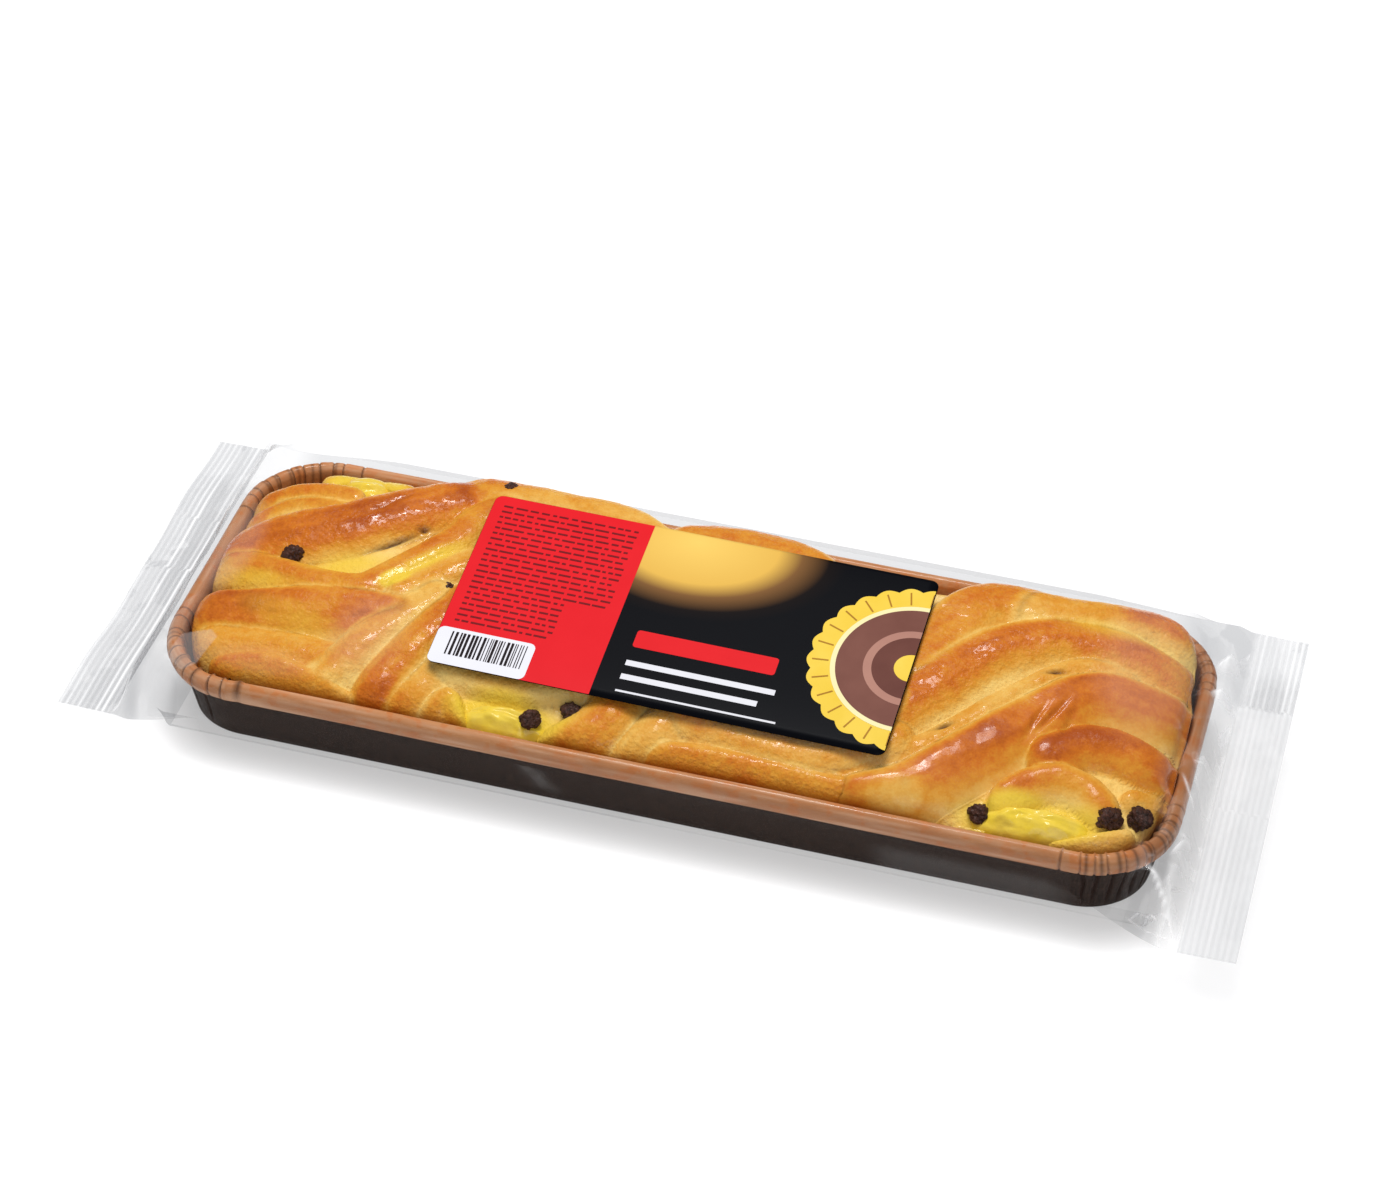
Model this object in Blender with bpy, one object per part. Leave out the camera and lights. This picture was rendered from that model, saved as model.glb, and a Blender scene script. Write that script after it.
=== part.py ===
"""Filled braided sweet bread in a paper baking tray, sealed in a clear film bag with a label on top.

The long side runs along X, the back is at +Y and the tray stands on z = 0.
Sizes are in millimetres until a mesh is made.
"""
import math

import bmesh
import bpy
import numpy as np
from mathutils import Matrix, Vector, noise

MM = 0.001
GAP = 0.35

# Paper tray: the outline is a rounded rectangle that narrows towards the base.
TRAY_LENGTH = 306.0
TRAY_WIDTH = 111.0
TRAY_HEIGHT = 26.2
TRAY_CORNER = 27.0
BASE_INSET = 7.2
PAPER = 1.0
ROLL_WIDE = 5.0
ROLL_TALL = 7.0
ROLL_START = -75.0
ROLL_END = 150.0
ROLL_STEPS = 6
WALL_TOP_INSET = 3.6
FOOT_ROUND = (2.0, 1.2)
PLEATS = 10
PLEAT_DEPTH = 0.8
FOOT_PLEAT_DEPTH = 0.3
ROLL_PLEAT_DEPTH = 0.56

# Loaf: it fills the tray and rises in a crown that leans to the back.
LOAF_INSET_TOP = 6.3
LOAF_INSET_FOOT = 10.0
LOAF_FOOT = PAPER + GAP
LOAF_EDGE_HEIGHT = 26.0
CROWN_RISE = 12.6
CROWN_LEAN = 0.16
CROWN_HALF_LENGTH = 153.0
CROWN_HALF_WIDTH = 53.0
GROOVE_FLOOR = 4.5
BACK_DIP = 4.5
SIDE_SHOULDER = (7.0, 4.0)
END_SHOULDER = (4.0, 2.5)
CRUMB_LEVEL = 11.0
LOAF_STEP = 1.7
LOAF_TRIANGLES = 4600

# Strands of the braid. Each has its lift over the crown, its half widths on the back
# and front side of its crest, and then points that its crest runs through from left to right.
STRANDS = {
    "great_left": (1.0, 8, 16, (-145, 0), (-136, 5), (-120, 11), (-105, 19), (-90, 30), (-77, 40)),
    "hump_left": (3.5, 8, 17, (-73, 45), (-58, 43), (-42, 40), (-27, 34), (1, 6), (28, -24)),
    "hump_middle": (2.5, 8, 16, (-8, 34), (4, 39), (17, 38), (29, 31), (45, 13), (62, -12)),
    "hump_right": (2.0, 7, 18, (66, 4), (71, 15), (77, 26), (85, 35), (95, 35)),
    "back_right": (2.5, 7, 14, (99, 33), (111, 34), (123, 38), (133, 41), (141, 40)),
    "corner_upper": (-2.5, 3, 8, (-142, 26), (-134, 28), (-126, 29), (-116, 28)),
    "corner_lower": (-3.0, 3, 9, (-142, 17), (-135, 21), (-126, 22), (-116, 21)),
    "corner_crust": (-5.5, 3, 5, (-127, 41), (-121, 46), (-112, 46), (-103, 42)),
    "hook": (0.0, 5, 9, (-142, -6), (-120, -10), (-102, -11), (-94, -5), (-80, 12), (-75, 23), (-67, 35)),
    "wide_left": (0.3, 5, 17, (-140, -23), (-130, -22), (-105, -17), (-86, -16)),
    "low_left": (-1.2, 10, 8, (-136, -38), (-124, -38), (-109, -38), (-99, -40)),
    "dark_front": (0.7, 3, 6, (-131, -47), (-120, -44), (-110, -45), (-92, -50)),
    "inner_left": (0.3, 5, 9, (-87, -8), (-76, 2), (-68, 8), (-56, 12), (-42, 14)),
    "slant_a": (0.0, 8, 6, (-99, -44), (-94, -35), (-89, -26), (-77, -9)),
    "slant_b": (0.5, 8, 10, (-85, -52), (-81, -38), (-70, -13), (-60, -2), (-48, 4)),
    "slant_c": (-0.5, 7, 8, (-75, -50), (-69, -38), (-63, -26), (-52, -14), (-38, -6)),
    "pool_lip": (0.0, 4, 4, (-66, -51), (-62, -43), (-58, -49)),
    "over_pool": (-1.0, 9, 4, (-66, -34), (-44, -35), (-26, -31)),
    "middle": (0.0, 10, 11, (-25, -52), (-17, -43), (-13, -34), (-17, -20), (-27, -6), (-40, 3)),
    "middle_front": (-0.5, 7, 8, (-6, -52), (-3, -43), (3, -32), (9, -22)),
    "under_label": (-0.5, 10, 5, (6, -35), (20, -37), (48, -39), (68, -29)),
    "long_front": (0.5, 5, 8, (2, -51), (7, -47), (20, -46), (60, -47), (74, -42)),
    "glossy": (1.0, 6, 17, (62, -46), (76, -38), (94, -19), (109, -3), (117, 4), (127, 7), (147, 8)),
    "thin_right": (-1.0, 4, 5, (56, -41), (76, -27), (94, -7), (110, 9), (120, 13), (129, 12)),
    "arc": (0.8, 6, 17, (60, -20), (70, -7), (86, 12), (103, 23), (113, 25), (127, 24), (147, 21)),
    "lens": (0.8, 5, 10, (112, -20), (120, -14), (129, -12), (138, -13), (147, -15)),
    "cap": (0.0, 4, 8, (103, -37), (109, -31), (117, -28), (125, -29), (131, -33)),
    "front_lip": (-1.0, 3, 4, (93, -51), (106, -51), (121, -50), (139, -42)),
    "end_bump": (-1.5, 4, 5, (139, -28), (147, -27)),
}
BACK_DROP = 0.95
FRONT_DROP = 0.55
BACK_POWER = 2.4
FRONT_POWER = 1.6
ROUTE_STEP = 1.5
FLANK_SLOPE = 3.0
CREASE = 0.35

# Where the ground between the strands falls: from and to a place along x or y.
BACK_DIP_RAMP = (28.0, 42.0)
CORNER_RAMP_Y = (24.0, 34.0)
CORNER_RAMP_X = (-92.0, -104.0)
LEFT_RAMP = (-139.0, -142.0)

# Custard: a layer through the loaf with the pools that show, each with its centre,
# its half length and half width, its top and its turn in degrees.
CUSTARD_CORE = (236.0, 84.0, 8.0, 16.0)
CUSTARD_CORNER = 14.0
POOLS = {
    "front": (-44, -44.3, 15, 6, 27.4, 0),
    "right": (114.5, -43, 16, 6.2, 28.2, 6),
    "corner": (-115, 39, 12, 8, 30.5, -3),
    "slit": (-90, -6, 5, 2.6, 33.5, 38),
}
POOL_FOOT = 11.0

# Chocolate drops: centre, radius across, radius up. Each sits half sunk in what it lies on.
DROPS = (
    (-124, -2, 4.1, 3.4),
    (-74, -5, 3.2, 3.0),
    (-68, 39, 3.6, 3.0),
    (-36, -44, 3.6, 3.0),
    (-25, -38, 3.8, 3.2),
    (97, -43.5, 3.6, 2.9),
    (133, -37, 4.5, 3.8),
    (141.2, -33.4, 4.2, 3.7),
)
DROP_ROUGHNESS = 0.13
DROP_LIFT = 0.15

# Film bag: taut over the tray and crown, folded out behind, crimped flat at both ends.
# The folds and seals are given as places across and up, the lines and stations as the
# places across and along where its sections have points.
FILM = 0.7
FILM_TOP_EDGE = 26.9
FILM_RISE = 13.0
FILM_LEAN = 0.155
FILM_HALF_WIDTH = 55.6
FILM_HALF_LENGTH = 153.9
FRONT_FOLD = (-57.2, 20.5)
BACK_FOLD = (66.0, 20.0)
SEAL_HEIGHT = 14.0
SEAL_INNER = 159.5
SEAL_OUTER = 176.0
SEAL_THICK = 1.0
HOLLOW_END = 0.24
LEFT_SEAL = (-64.0, 67.0)
RIGHT_SEAL = (-71.0, 69.0)
SPREAD_START = 120.0
FOOT_CLEARANCE = 1.5
FOOT_FLARE = (6.0, 2.5)
FOOT_RISE = 7.7
OPENING_CORNER_STEPS = 8
FILM_LINES = (-51.5, -47, -41, -34.5, -22, -10, 2, 14, 26, 33, 39, 44, 48, 51.5)
FILM_STATIONS = (30, 60, 85, 105, 120, 131, 139, 145, 149, 152)

# Label stuck on top of the film.
LABEL_LENGTH = 138.0
LABEL_WIDTH = 67.0
LABEL_CENTRE = (-1.0, -3.5)
LABEL_TURN = -0.6
LABEL_THICK = 0.5
LABEL_CELLS = (16, 8)


def clear_scene():
    for item in list(bpy.data.objects):
        bpy.data.objects.remove(item, do_unlink=True)


def add_material(piece, colour, roughness, alpha=1.0):
    material = bpy.data.materials.new(piece.name)
    material.use_nodes = True
    shader = material.node_tree.nodes["Principled BSDF"]
    shader.inputs["Base Color"].default_value = (*colour, 1.0)
    shader.inputs["Roughness"].default_value = roughness
    shader.inputs["Alpha"].default_value = alpha
    piece.data.materials.append(material)


def add_object(name, bm, is_cutter=False):
    """Turn a mesh in millimetres into an object in metres, with its faces pointing out."""
    bmesh.ops.recalc_face_normals(bm, faces=bm.faces)
    bmesh.ops.scale(bm, vec=(MM, MM, MM), verts=bm.verts)
    mesh = bpy.data.meshes.new(name)
    bm.to_mesh(mesh)
    bm.free()
    piece = bpy.data.objects.new(name, mesh)
    bpy.context.scene.collection.objects.link(piece)
    if is_cutter:
        piece.hide_render = True
        piece.display_type = "WIRE"
    return piece


def add_cutters(name, pieces):
    """Put pieces that cut or join together into a collection of their own."""
    group = bpy.data.collections.new(name)
    bpy.context.scene.collection.children.link(group)
    for piece in pieces:
        bpy.context.scene.collection.objects.unlink(piece)
        group.objects.link(piece)
    return group


def combine(piece, operation, other):
    """Add a Boolean with one object, or with all objects of a collection."""
    change = piece.modifiers.new(operation.title(), "BOOLEAN")
    change.operation = operation
    change.solver = "EXACT"
    if isinstance(other, bpy.types.Collection):
        change.operand_type = "COLLECTION"
        change.collection = other
    else:
        change.object = other


def apply_modifiers(piece):
    """Replace a piece's mesh by its evaluated one."""
    graph = bpy.context.evaluated_depsgraph_get()
    mesh = bpy.data.meshes.new_from_object(piece.evaluated_get(graph))
    mesh.name = piece.name
    piece.modifiers.clear()
    piece.data = mesh


def rounded_outline(inset, corner_steps, pleat=0.0):
    """Points of the tray's outline, moved in by inset, with pleats gathered at the corners."""
    radius = TRAY_CORNER - inset
    centre_x = TRAY_LENGTH / 2 - TRAY_CORNER
    centre_y = TRAY_WIDTH / 2 - TRAY_CORNER
    points = []
    for quarter, (side_x, side_y) in enumerate(((1, 1), (-1, 1), (-1, -1), (1, -1))):
        for step in range(corner_steps + 1):
            angle = math.radians(90 * (quarter + step / corner_steps))
            reach = radius - pleat * (step % 2)
            points.append((side_x * centre_x + reach * math.cos(angle),
                           side_y * centre_y + reach * math.sin(angle)))
    return points


def bridge_rings(bm, rings):
    """Join rings of vertices, all of one length, one after another."""
    for lower, upper in zip(rings, rings[1:]):
        for index in range(len(lower)):
            following = (index + 1) % len(lower)
            bm.faces.new((lower[index], lower[following], upper[following], upper[index]))


def make_tray():
    """Walls of paper with a rolled rim; each profile point is an inset, a height and a pleat depth."""
    roll_z = TRAY_HEIGHT - ROLL_TALL / 2
    roll_inset = ROLL_WIDE / 2
    profile = [
        (BASE_INSET + FOOT_ROUND[0], 0.0, 0.0),
        (BASE_INSET, FOOT_ROUND[1], FOOT_PLEAT_DEPTH),
        (WALL_TOP_INSET, TRAY_HEIGHT - ROLL_TALL + 0.1, PLEAT_DEPTH),
    ]
    for step in range(ROLL_STEPS + 1):
        turn = math.radians(ROLL_START + (ROLL_END - ROLL_START) * step / ROLL_STEPS)
        profile.append((roll_inset - roll_inset * math.cos(turn), roll_z + ROLL_TALL / 2 * math.sin(turn),
                        ROLL_PLEAT_DEPTH))
    profile += [
        (WALL_TOP_INSET + PAPER, roll_z - 1.5 * PAPER, PLEAT_DEPTH),
        (BASE_INSET + PAPER, FOOT_ROUND[1] + PAPER, FOOT_PLEAT_DEPTH),
        (BASE_INSET + FOOT_ROUND[0] + PAPER, PAPER, 0.0),
    ]
    bm = bmesh.new()
    rings = []
    for inset, height, pleat in profile:
        rings.append([bm.verts.new((x, y, height)) for x, y in rounded_outline(inset, 2 * PLEATS, pleat)])
    bridge_rings(bm, rings)
    bm.faces.new(rings[0])
    bm.faces.new(rings[-1])
    piece = add_object("tray", bm)
    add_material(piece, (0.36, 0.17, 0.09), 0.55)
    return piece


def half_width(x, inset):
    """Half the width of the tray's outline at a given x, moved in by inset."""
    radius = TRAY_CORNER - inset
    past = np.clip(np.abs(x) - (TRAY_LENGTH / 2 - TRAY_CORNER), 0, radius)
    return TRAY_WIDTH / 2 - TRAY_CORNER + np.sqrt(radius ** 2 - past ** 2)


def ramp(value, start, end):
    """0 at start and 1 at end, straight between them and level beyond."""
    return np.clip((value - start) / (end - start), 0.0, 1.0)


def crown_height(x, y):
    """Smooth height of the baked loaf without its strands."""
    across = np.clip(1 - (y / CROWN_HALF_WIDTH) ** 4, 0, 1)
    along = np.clip(1 - (x / CROWN_HALF_LENGTH) ** 10, 0, 1)
    return LOAF_EDGE_HEIGHT + (CROWN_RISE + CROWN_LEAN * y) * across * along


def film_height(x, y):
    """Height of the film's outer face over the tray's rim and the loaf."""
    across = np.clip(1 - np.abs(y / FILM_HALF_WIDTH) ** 7, 0, 1)
    along = np.clip(1 - np.abs(x / FILM_HALF_LENGTH) ** 12, 0, 1)
    return FILM_TOP_EDGE + (FILM_RISE + FILM_LEAN * y) * across * along


def smooth_route(points):
    """Even points along a smooth curve through the given ones, by Catmull and Rom's rule."""
    given = np.array(points, float)
    given = np.vstack([2 * given[0] - given[1], given, 2 * given[-1] - given[-2]])
    route = []
    for before, start, end, after in zip(given, given[1:], given[2:], given[3:]):
        count = max(2, int(np.linalg.norm(end - start) / ROUTE_STEP))
        for part in np.arange(count) / count:
            route.append(0.5 * (2 * start + (end - before) * part
                                + (2 * before - 5 * start + 4 * end - after) * part ** 2
                                + (3 * start - before - 3 * end + after) * part ** 3))
    route.append(given[-2])
    return np.array(route)


def strand_height(x, y, lift, back, front, points):
    """Height of one strand: round on both sides of its crest, then falling off steeply."""
    route = smooth_route(points)
    tangent = np.gradient(route, axis=0)
    tangent /= np.linalg.norm(tangent, axis=1, keepdims=True)
    away_x = x[..., None] - route[:, 0]
    away_y = y[..., None] - route[:, 1]
    distance = np.hypot(away_x, away_y)
    nearest = distance.argmin(axis=-1)
    picked = nearest[..., None]
    distance = np.take_along_axis(distance, picked, -1)[..., 0]
    side_x = np.take_along_axis(away_x, picked, -1)[..., 0]
    side_y = np.take_along_axis(away_y, picked, -1)[..., 0]
    turned = tangent[nearest, 0] * side_y - tangent[nearest, 1] * side_x
    lean = turned / np.maximum(distance, 1e-6)
    blend = np.clip(0.5 + 0.5 * lean, 0, 1)
    blend = blend * blend * (3 - 2 * blend)
    width = front + (back - front) * blend
    power = FRONT_POWER + (BACK_POWER - FRONT_POWER) * blend
    drop = front * FRONT_DROP + (back * BACK_DROP - front * FRONT_DROP) * blend
    across = np.clip(distance / width, 0, 1)
    round_side = 1 - (1 - across ** power) ** (1 / power)
    fall = drop * round_side + FLANK_SLOPE * np.clip(distance - width, 0, None)
    return crown_height(x, y) + lift - fall


def loaf_height(x, y):
    """Top of the loaf: the highest strand at each point, with a crease where two meet."""
    ground = crown_height(x, y) - GROOVE_FLOOR - BACK_DIP * ramp(y, *BACK_DIP_RAMP)
    empty_corner = ramp(y, *CORNER_RAMP_Y) * ramp(x, *CORNER_RAMP_X)
    ground = ground - (ground - CRUMB_LEVEL) * np.maximum(empty_corner, ramp(x, *LEFT_RAMP))
    total = np.exp((ground - LOAF_EDGE_HEIGHT) / CREASE)
    for lift, back, front, *route in STRANDS.values():
        strand = strand_height(x, y, lift, back, front, route)
        total = total + np.exp((strand - LOAF_EDGE_HEIGHT) / CREASE)
    height = LOAF_EDGE_HEIGHT + CREASE * np.log(total)
    to_side = half_width(x, LOAF_INSET_TOP) - np.abs(y)
    to_end = TRAY_LENGTH / 2 - LOAF_INSET_TOP - np.abs(x)
    for distance, (reach, drop) in ((to_side, SIDE_SHOULDER), (to_end, END_SHOULDER)):
        near_edge = np.clip(1 - distance / reach, 0, 1)
        height = height - drop * (1 - np.sqrt(1 - near_edge ** 2))
    ceiling = film_height(x, y) - FILM - 2 * GAP
    over = (height - ceiling) / CREASE
    return ceiling - CREASE * np.logaddexp(0, -over)


def make_loaf(custard_cutter, drop_cutters):
    """A grid bent to the loaf's top, with its edge drawn down to a flat foot."""
    columns = int((TRAY_LENGTH - 2 * LOAF_INSET_TOP) / LOAF_STEP)
    rows = int(TRAY_WIDTH / LOAF_STEP)
    bm = bmesh.new()
    bmesh.ops.create_grid(bm, x_segments=columns, y_segments=rows, size=1.0)
    rim = [edge for edge in bm.edges if edge.is_boundary]
    foot = bmesh.ops.extrude_edge_only(bm, edges=rim)["geom"]
    foot_verts = {item for item in foot if isinstance(item, bmesh.types.BMVert)}
    bmesh.ops.contextual_create(bm, geom=[item for item in foot if isinstance(item, bmesh.types.BMEdge)
                                          and set(item.verts) <= foot_verts])
    along, across = np.array([vert.co[:2] for vert in bm.verts]).T
    x = along * (TRAY_LENGTH / 2 - LOAF_INSET_TOP)
    y = across * half_width(x, LOAF_INSET_TOP)
    is_foot = np.array([vert in foot_verts for vert in bm.verts])
    z = np.where(is_foot, LOAF_FOOT, loaf_height(x, y))
    inset = np.interp(z, (LOAF_FOOT, TRAY_HEIGHT), (LOAF_INSET_FOOT, LOAF_INSET_TOP))
    x = along * (TRAY_LENGTH / 2 - inset)
    y = across * half_width(x, inset)
    for vert, place in zip(bm.verts, zip(x, y, z)):
        vert.co = place
    triangles = 2 * len(bm.faces)
    piece = add_object("loaf", bm)
    thin = piece.modifiers.new("Fewer faces", "DECIMATE")
    thin.ratio = LOAF_TRIANGLES / triangles
    apply_modifiers(piece)
    combine(piece, "DIFFERENCE", custard_cutter)
    combine(piece, "DIFFERENCE", drop_cutters)
    add_material(piece, (0.62, 0.30, 0.07), 0.35)
    return piece


def swell(bm, amount):
    """Push every vertex outwards, for a cutter that leaves a gap."""
    bmesh.ops.recalc_face_normals(bm, faces=bm.faces)
    bm.normal_update()
    moves = [vert.normal * amount for vert in bm.verts]
    for vert, move in zip(bm.verts, moves):
        vert.co += move


def custard_height(x, y):
    """Height of the custard's pools at one place, or of its core away from them."""
    height = CUSTARD_CORE[3]
    for pool_x, pool_y, half_long, half_wide, top, turn in POOLS.values():
        away = Matrix.Rotation(math.radians(-turn), 2) @ Vector((x - pool_x, y - pool_y))
        reach = (away.x / half_long) ** 2 + (away.y / half_wide) ** 2
        if reach < 1:
            height = max(height, top - (top - POOL_FOOT) / 2 * (1 - math.sqrt(1 - reach)))
    return height


def make_custard_body(name, gap):
    """The custard layer joined to its pools, swollen by gap when it is a cutter."""
    length, width, low, high = CUSTARD_CORE
    bm = bmesh.new()
    size = Matrix.Diagonal((length + 2 * gap, width + 2 * gap, high - low + 2 * gap, 1))
    bmesh.ops.create_cube(bm, size=1, matrix=Matrix.Translation((0, 0, (high + low) / 2)) @ size)
    upright = [edge for edge in bm.edges if edge.verts[0].co.xy == edge.verts[1].co.xy]
    bmesh.ops.bevel(bm, geom=upright, offset=CUSTARD_CORNER, offset_type="OFFSET", segments=4,
                    profile=0.5, affect="EDGES")
    piece = add_object(name, bm, is_cutter=gap > 0)
    pools = []
    for label, (x, y, half_long, half_wide, top, turn) in POOLS.items():
        bm = bmesh.new()
        half_tall = (top - POOL_FOOT) / 2
        centre = Matrix.Translation((x, y, POOL_FOOT + half_tall))
        turned = Matrix.Rotation(math.radians(turn), 4, "Z")
        size = Matrix.Diagonal((half_long, half_wide, half_tall, 1))
        bmesh.ops.create_uvsphere(bm, u_segments=16, v_segments=10, radius=1, matrix=centre @ turned @ size)
        swell(bm, gap)
        pools.append(add_object(name + "_" + label, bm, is_cutter=True))
    group = add_cutters(name + " pools", pools)
    combine(piece, "UNION", group)
    apply_modifiers(piece)
    for pool in pools:
        bpy.data.objects.remove(pool, do_unlink=True)
    bpy.data.collections.remove(group)
    return piece


def make_drop(name, place, gap):
    """An uneven chocolate drop, swollen by gap when it is a cutter."""
    x, y, radius, radius_up = place
    seat = max(float(loaf_height(np.array([x]), np.array([y]))[0]), custard_height(x, y))
    z = min(seat + DROP_LIFT * radius_up,
            float(film_height(x, y)) - FILM - 2 * GAP - (1 + DROP_ROUGHNESS) * radius_up)
    bm = bmesh.new()
    bmesh.ops.create_icosphere(bm, subdivisions=2, radius=1)
    for vert in bm.verts:
        bump = noise.noise(vert.co * 1.6 + Vector((x, y, z)) * 0.37)
        vert.co *= 1 + DROP_ROUGHNESS * bump
        vert.co = Vector((x, y, z)) + Vector((vert.co.x * radius, vert.co.y * radius, vert.co.z * radius_up))
    swell(bm, gap)
    return add_object(name, bm, is_cutter=gap > 0)


def make_filling():
    """The custard and the drops, with the swollen cutters that the loaf needs."""
    drops = []
    cutters = []
    for number, place in enumerate(DROPS, start=1):
        drop = make_drop(f"choc_drop_{number:02d}", place, 0)
        add_material(drop, (0.045, 0.017, 0.010), 0.5)
        drops.append(drop)
        cutters.append(make_drop(f"drop_cutter_{number:02d}", place, GAP))
    drop_cutters = add_cutters("drop cutters", cutters)
    custard = make_custard_body("custard", 0)
    combine(custard, "DIFFERENCE", drop_cutters)
    add_material(custard, (0.75, 0.55, 0.05), 0.3)
    return make_custard_body("custard_cutter", GAP), drop_cutters


def film_section(x, inside):
    """One section of the bag as points (y, z), from the front fold over the top and back underneath.

    Towards the seals the section is pressed flat, the top from the loaf's end and the foot
    from the tray's base. The inside is the same shape, moved in by the film's thickness.
    """
    wall = FILM if inside else 0.0
    pinch = HOLLOW_END / 2 if inside else SEAL_THICK / 2
    side = LEFT_SEAL if x < 0 else RIGHT_SEAL
    spread = ramp(abs(x), SPREAD_START, SEAL_INNER)
    front_y = FRONT_FOLD[0] + wall + (side[0] - FRONT_FOLD[0]) * spread
    back_y = BACK_FOLD[0] - 2 * wall + (side[1] - BACK_FOLD[0]) * spread
    foot = TRAY_WIDTH / 2 - BASE_INSET + FOOT_CLEARANCE - wall
    upper = [(front_y, FRONT_FOLD[1]), (wall - FILM_HALF_WIDTH, FILM_TOP_EDGE - wall)]
    upper += [(y, film_height(x, y) - wall) for y in FILM_LINES]
    upper += [(FILM_HALF_WIDTH - wall, FILM_TOP_EDGE - wall), (back_y, BACK_FOLD[1])]
    lower = [(foot + FOOT_FLARE[0], FOOT_RISE), (foot, wall), (foot / 2, wall), (0, wall), (-foot / 2, wall),
             (-foot, wall), (-foot - FOOT_FLARE[1], FOOT_RISE)]
    top_press = ramp(abs(x), FILM_HALF_LENGTH - wall, SEAL_INNER)
    foot_press = ramp(abs(x), TRAY_LENGTH / 2 - BASE_INSET + FOOT_CLEARANCE - wall, SEAL_INNER)
    points = []
    for index, (y, z) in enumerate(upper):
        seal_y = front_y + (back_y - front_y) * index / (len(upper) - 1)
        points.append((y + (seal_y - y) * top_press, z + (SEAL_HEIGHT + pinch - z) * top_press))
    for index, (y, z) in enumerate(lower, start=1):
        seal_y = back_y + (front_y - back_y) * index / (len(lower) + 1)
        points.append((y + (seal_y - y) * foot_press, z + (SEAL_HEIGHT - pinch - z) * foot_press))
    return points


def make_bag(name, inside):
    """Sections of the bag joined along its length and closed at both ends."""
    ends = [SEAL_INNER - FILM] if inside else [SEAL_INNER, SEAL_OUTER]
    right = [*FILM_STATIONS, FILM_HALF_LENGTH, FILM_HALF_LENGTH + 2, FILM_HALF_LENGTH + 4, *ends]
    bm = bmesh.new()
    rings = []
    for x in [-station for station in reversed(right)] + [0] + right:
        rings.append([bm.verts.new((x, y, z)) for y, z in film_section(x, inside)])
    bridge_rings(bm, rings)
    bm.faces.new(rings[0])
    bm.faces.new(rings[-1])
    return add_object(name, bm, is_cutter=inside)


def make_film():
    """The hollow bag, open beneath where the tray's base comes through to the table."""
    piece = make_bag("film", False)
    combine(piece, "DIFFERENCE", make_bag("film_hollow", True))
    bm = bmesh.new()
    rings = []
    for height in (-FILM, 2 * FILM):
        outline = rounded_outline(BASE_INSET - 2 * GAP, OPENING_CORNER_STEPS)
        rings.append([bm.verts.new((x, y, height)) for x, y in outline])
    bridge_rings(bm, rings)
    bm.faces.new(rings[0])
    bm.faces.new(rings[-1])
    combine(piece, "DIFFERENCE", add_object("film_opening", bm, is_cutter=True))
    add_material(piece, (0.9, 0.9, 0.9), 0.1, alpha=0.25)
    return piece


def make_label():
    """A sheet that follows the film's top face."""
    turn = Matrix.Rotation(math.radians(LABEL_TURN), 2)
    bm = bmesh.new()
    bmesh.ops.create_grid(bm, x_segments=LABEL_CELLS[0], y_segments=LABEL_CELLS[1], size=0.5)
    faces = list(bm.faces)
    for vert in bm.verts:
        flat = turn @ Vector((vert.co.x * LABEL_LENGTH, vert.co.y * LABEL_WIDTH))
        x, y = flat.x + LABEL_CENTRE[0], flat.y + LABEL_CENTRE[1]
        vert.co = (x, y, float(film_height(x, y)) + GAP)
    upper = bmesh.ops.extrude_face_region(bm, geom=faces)["geom"]
    bmesh.ops.translate(bm, verts=[item for item in upper if isinstance(item, bmesh.types.BMVert)],
                        vec=(0, 0, LABEL_THICK))
    piece = add_object("label", bm)
    add_material(piece, (0.02, 0.02, 0.025), 0.35)
    return piece


def main():
    clear_scene()
    make_tray()
    custard_cutter, drop_cutters = make_filling()
    make_loaf(custard_cutter, drop_cutters)
    make_film()
    make_label()


main()
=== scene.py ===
# %% [markdown]
# # A braided sweet bread in its tray and film
#
# The object is one pack from a baker's shelf: a long braid filled with custard and chocolate drops,
# baked in a dark paper tray with a rolled rim, sealed in clear film, with a label on top.
#
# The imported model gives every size. This lesson dresses it: each rigid stand-in gets a finer piece
# with the same form, its own relief and its own finish.

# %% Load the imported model
import math

import bmesh
import bpy
import numpy as np
from mathutils import Matrix, Vector, noise


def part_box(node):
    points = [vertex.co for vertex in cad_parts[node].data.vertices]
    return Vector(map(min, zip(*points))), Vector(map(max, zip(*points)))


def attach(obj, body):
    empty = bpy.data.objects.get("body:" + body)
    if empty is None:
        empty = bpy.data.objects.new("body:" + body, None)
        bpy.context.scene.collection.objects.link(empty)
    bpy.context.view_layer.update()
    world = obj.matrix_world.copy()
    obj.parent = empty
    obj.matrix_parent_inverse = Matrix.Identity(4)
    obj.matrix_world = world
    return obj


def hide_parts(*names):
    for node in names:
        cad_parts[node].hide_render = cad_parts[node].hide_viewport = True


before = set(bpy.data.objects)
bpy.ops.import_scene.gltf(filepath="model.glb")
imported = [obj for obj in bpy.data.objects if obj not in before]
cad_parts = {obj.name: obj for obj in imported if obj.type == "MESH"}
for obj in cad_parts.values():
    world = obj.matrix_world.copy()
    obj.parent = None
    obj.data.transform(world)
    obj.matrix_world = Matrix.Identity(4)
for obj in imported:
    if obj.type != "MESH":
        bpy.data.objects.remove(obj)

MM = 0.001
NOISE_SEED = 1
noise.seed_set(NOISE_SEED)  # or vector noise takes its seed from the clock
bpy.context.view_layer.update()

# %% [markdown]
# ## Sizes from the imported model
#
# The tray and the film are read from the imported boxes, in millimetres, and everything else is
# worked out from them. Heights are over the table that the tray stands on.


# %% Sizes of the tray and the film
def box_in_mm(node):
    low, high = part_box(node)
    return Vector(low) / MM, Vector(high) / MM


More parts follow.
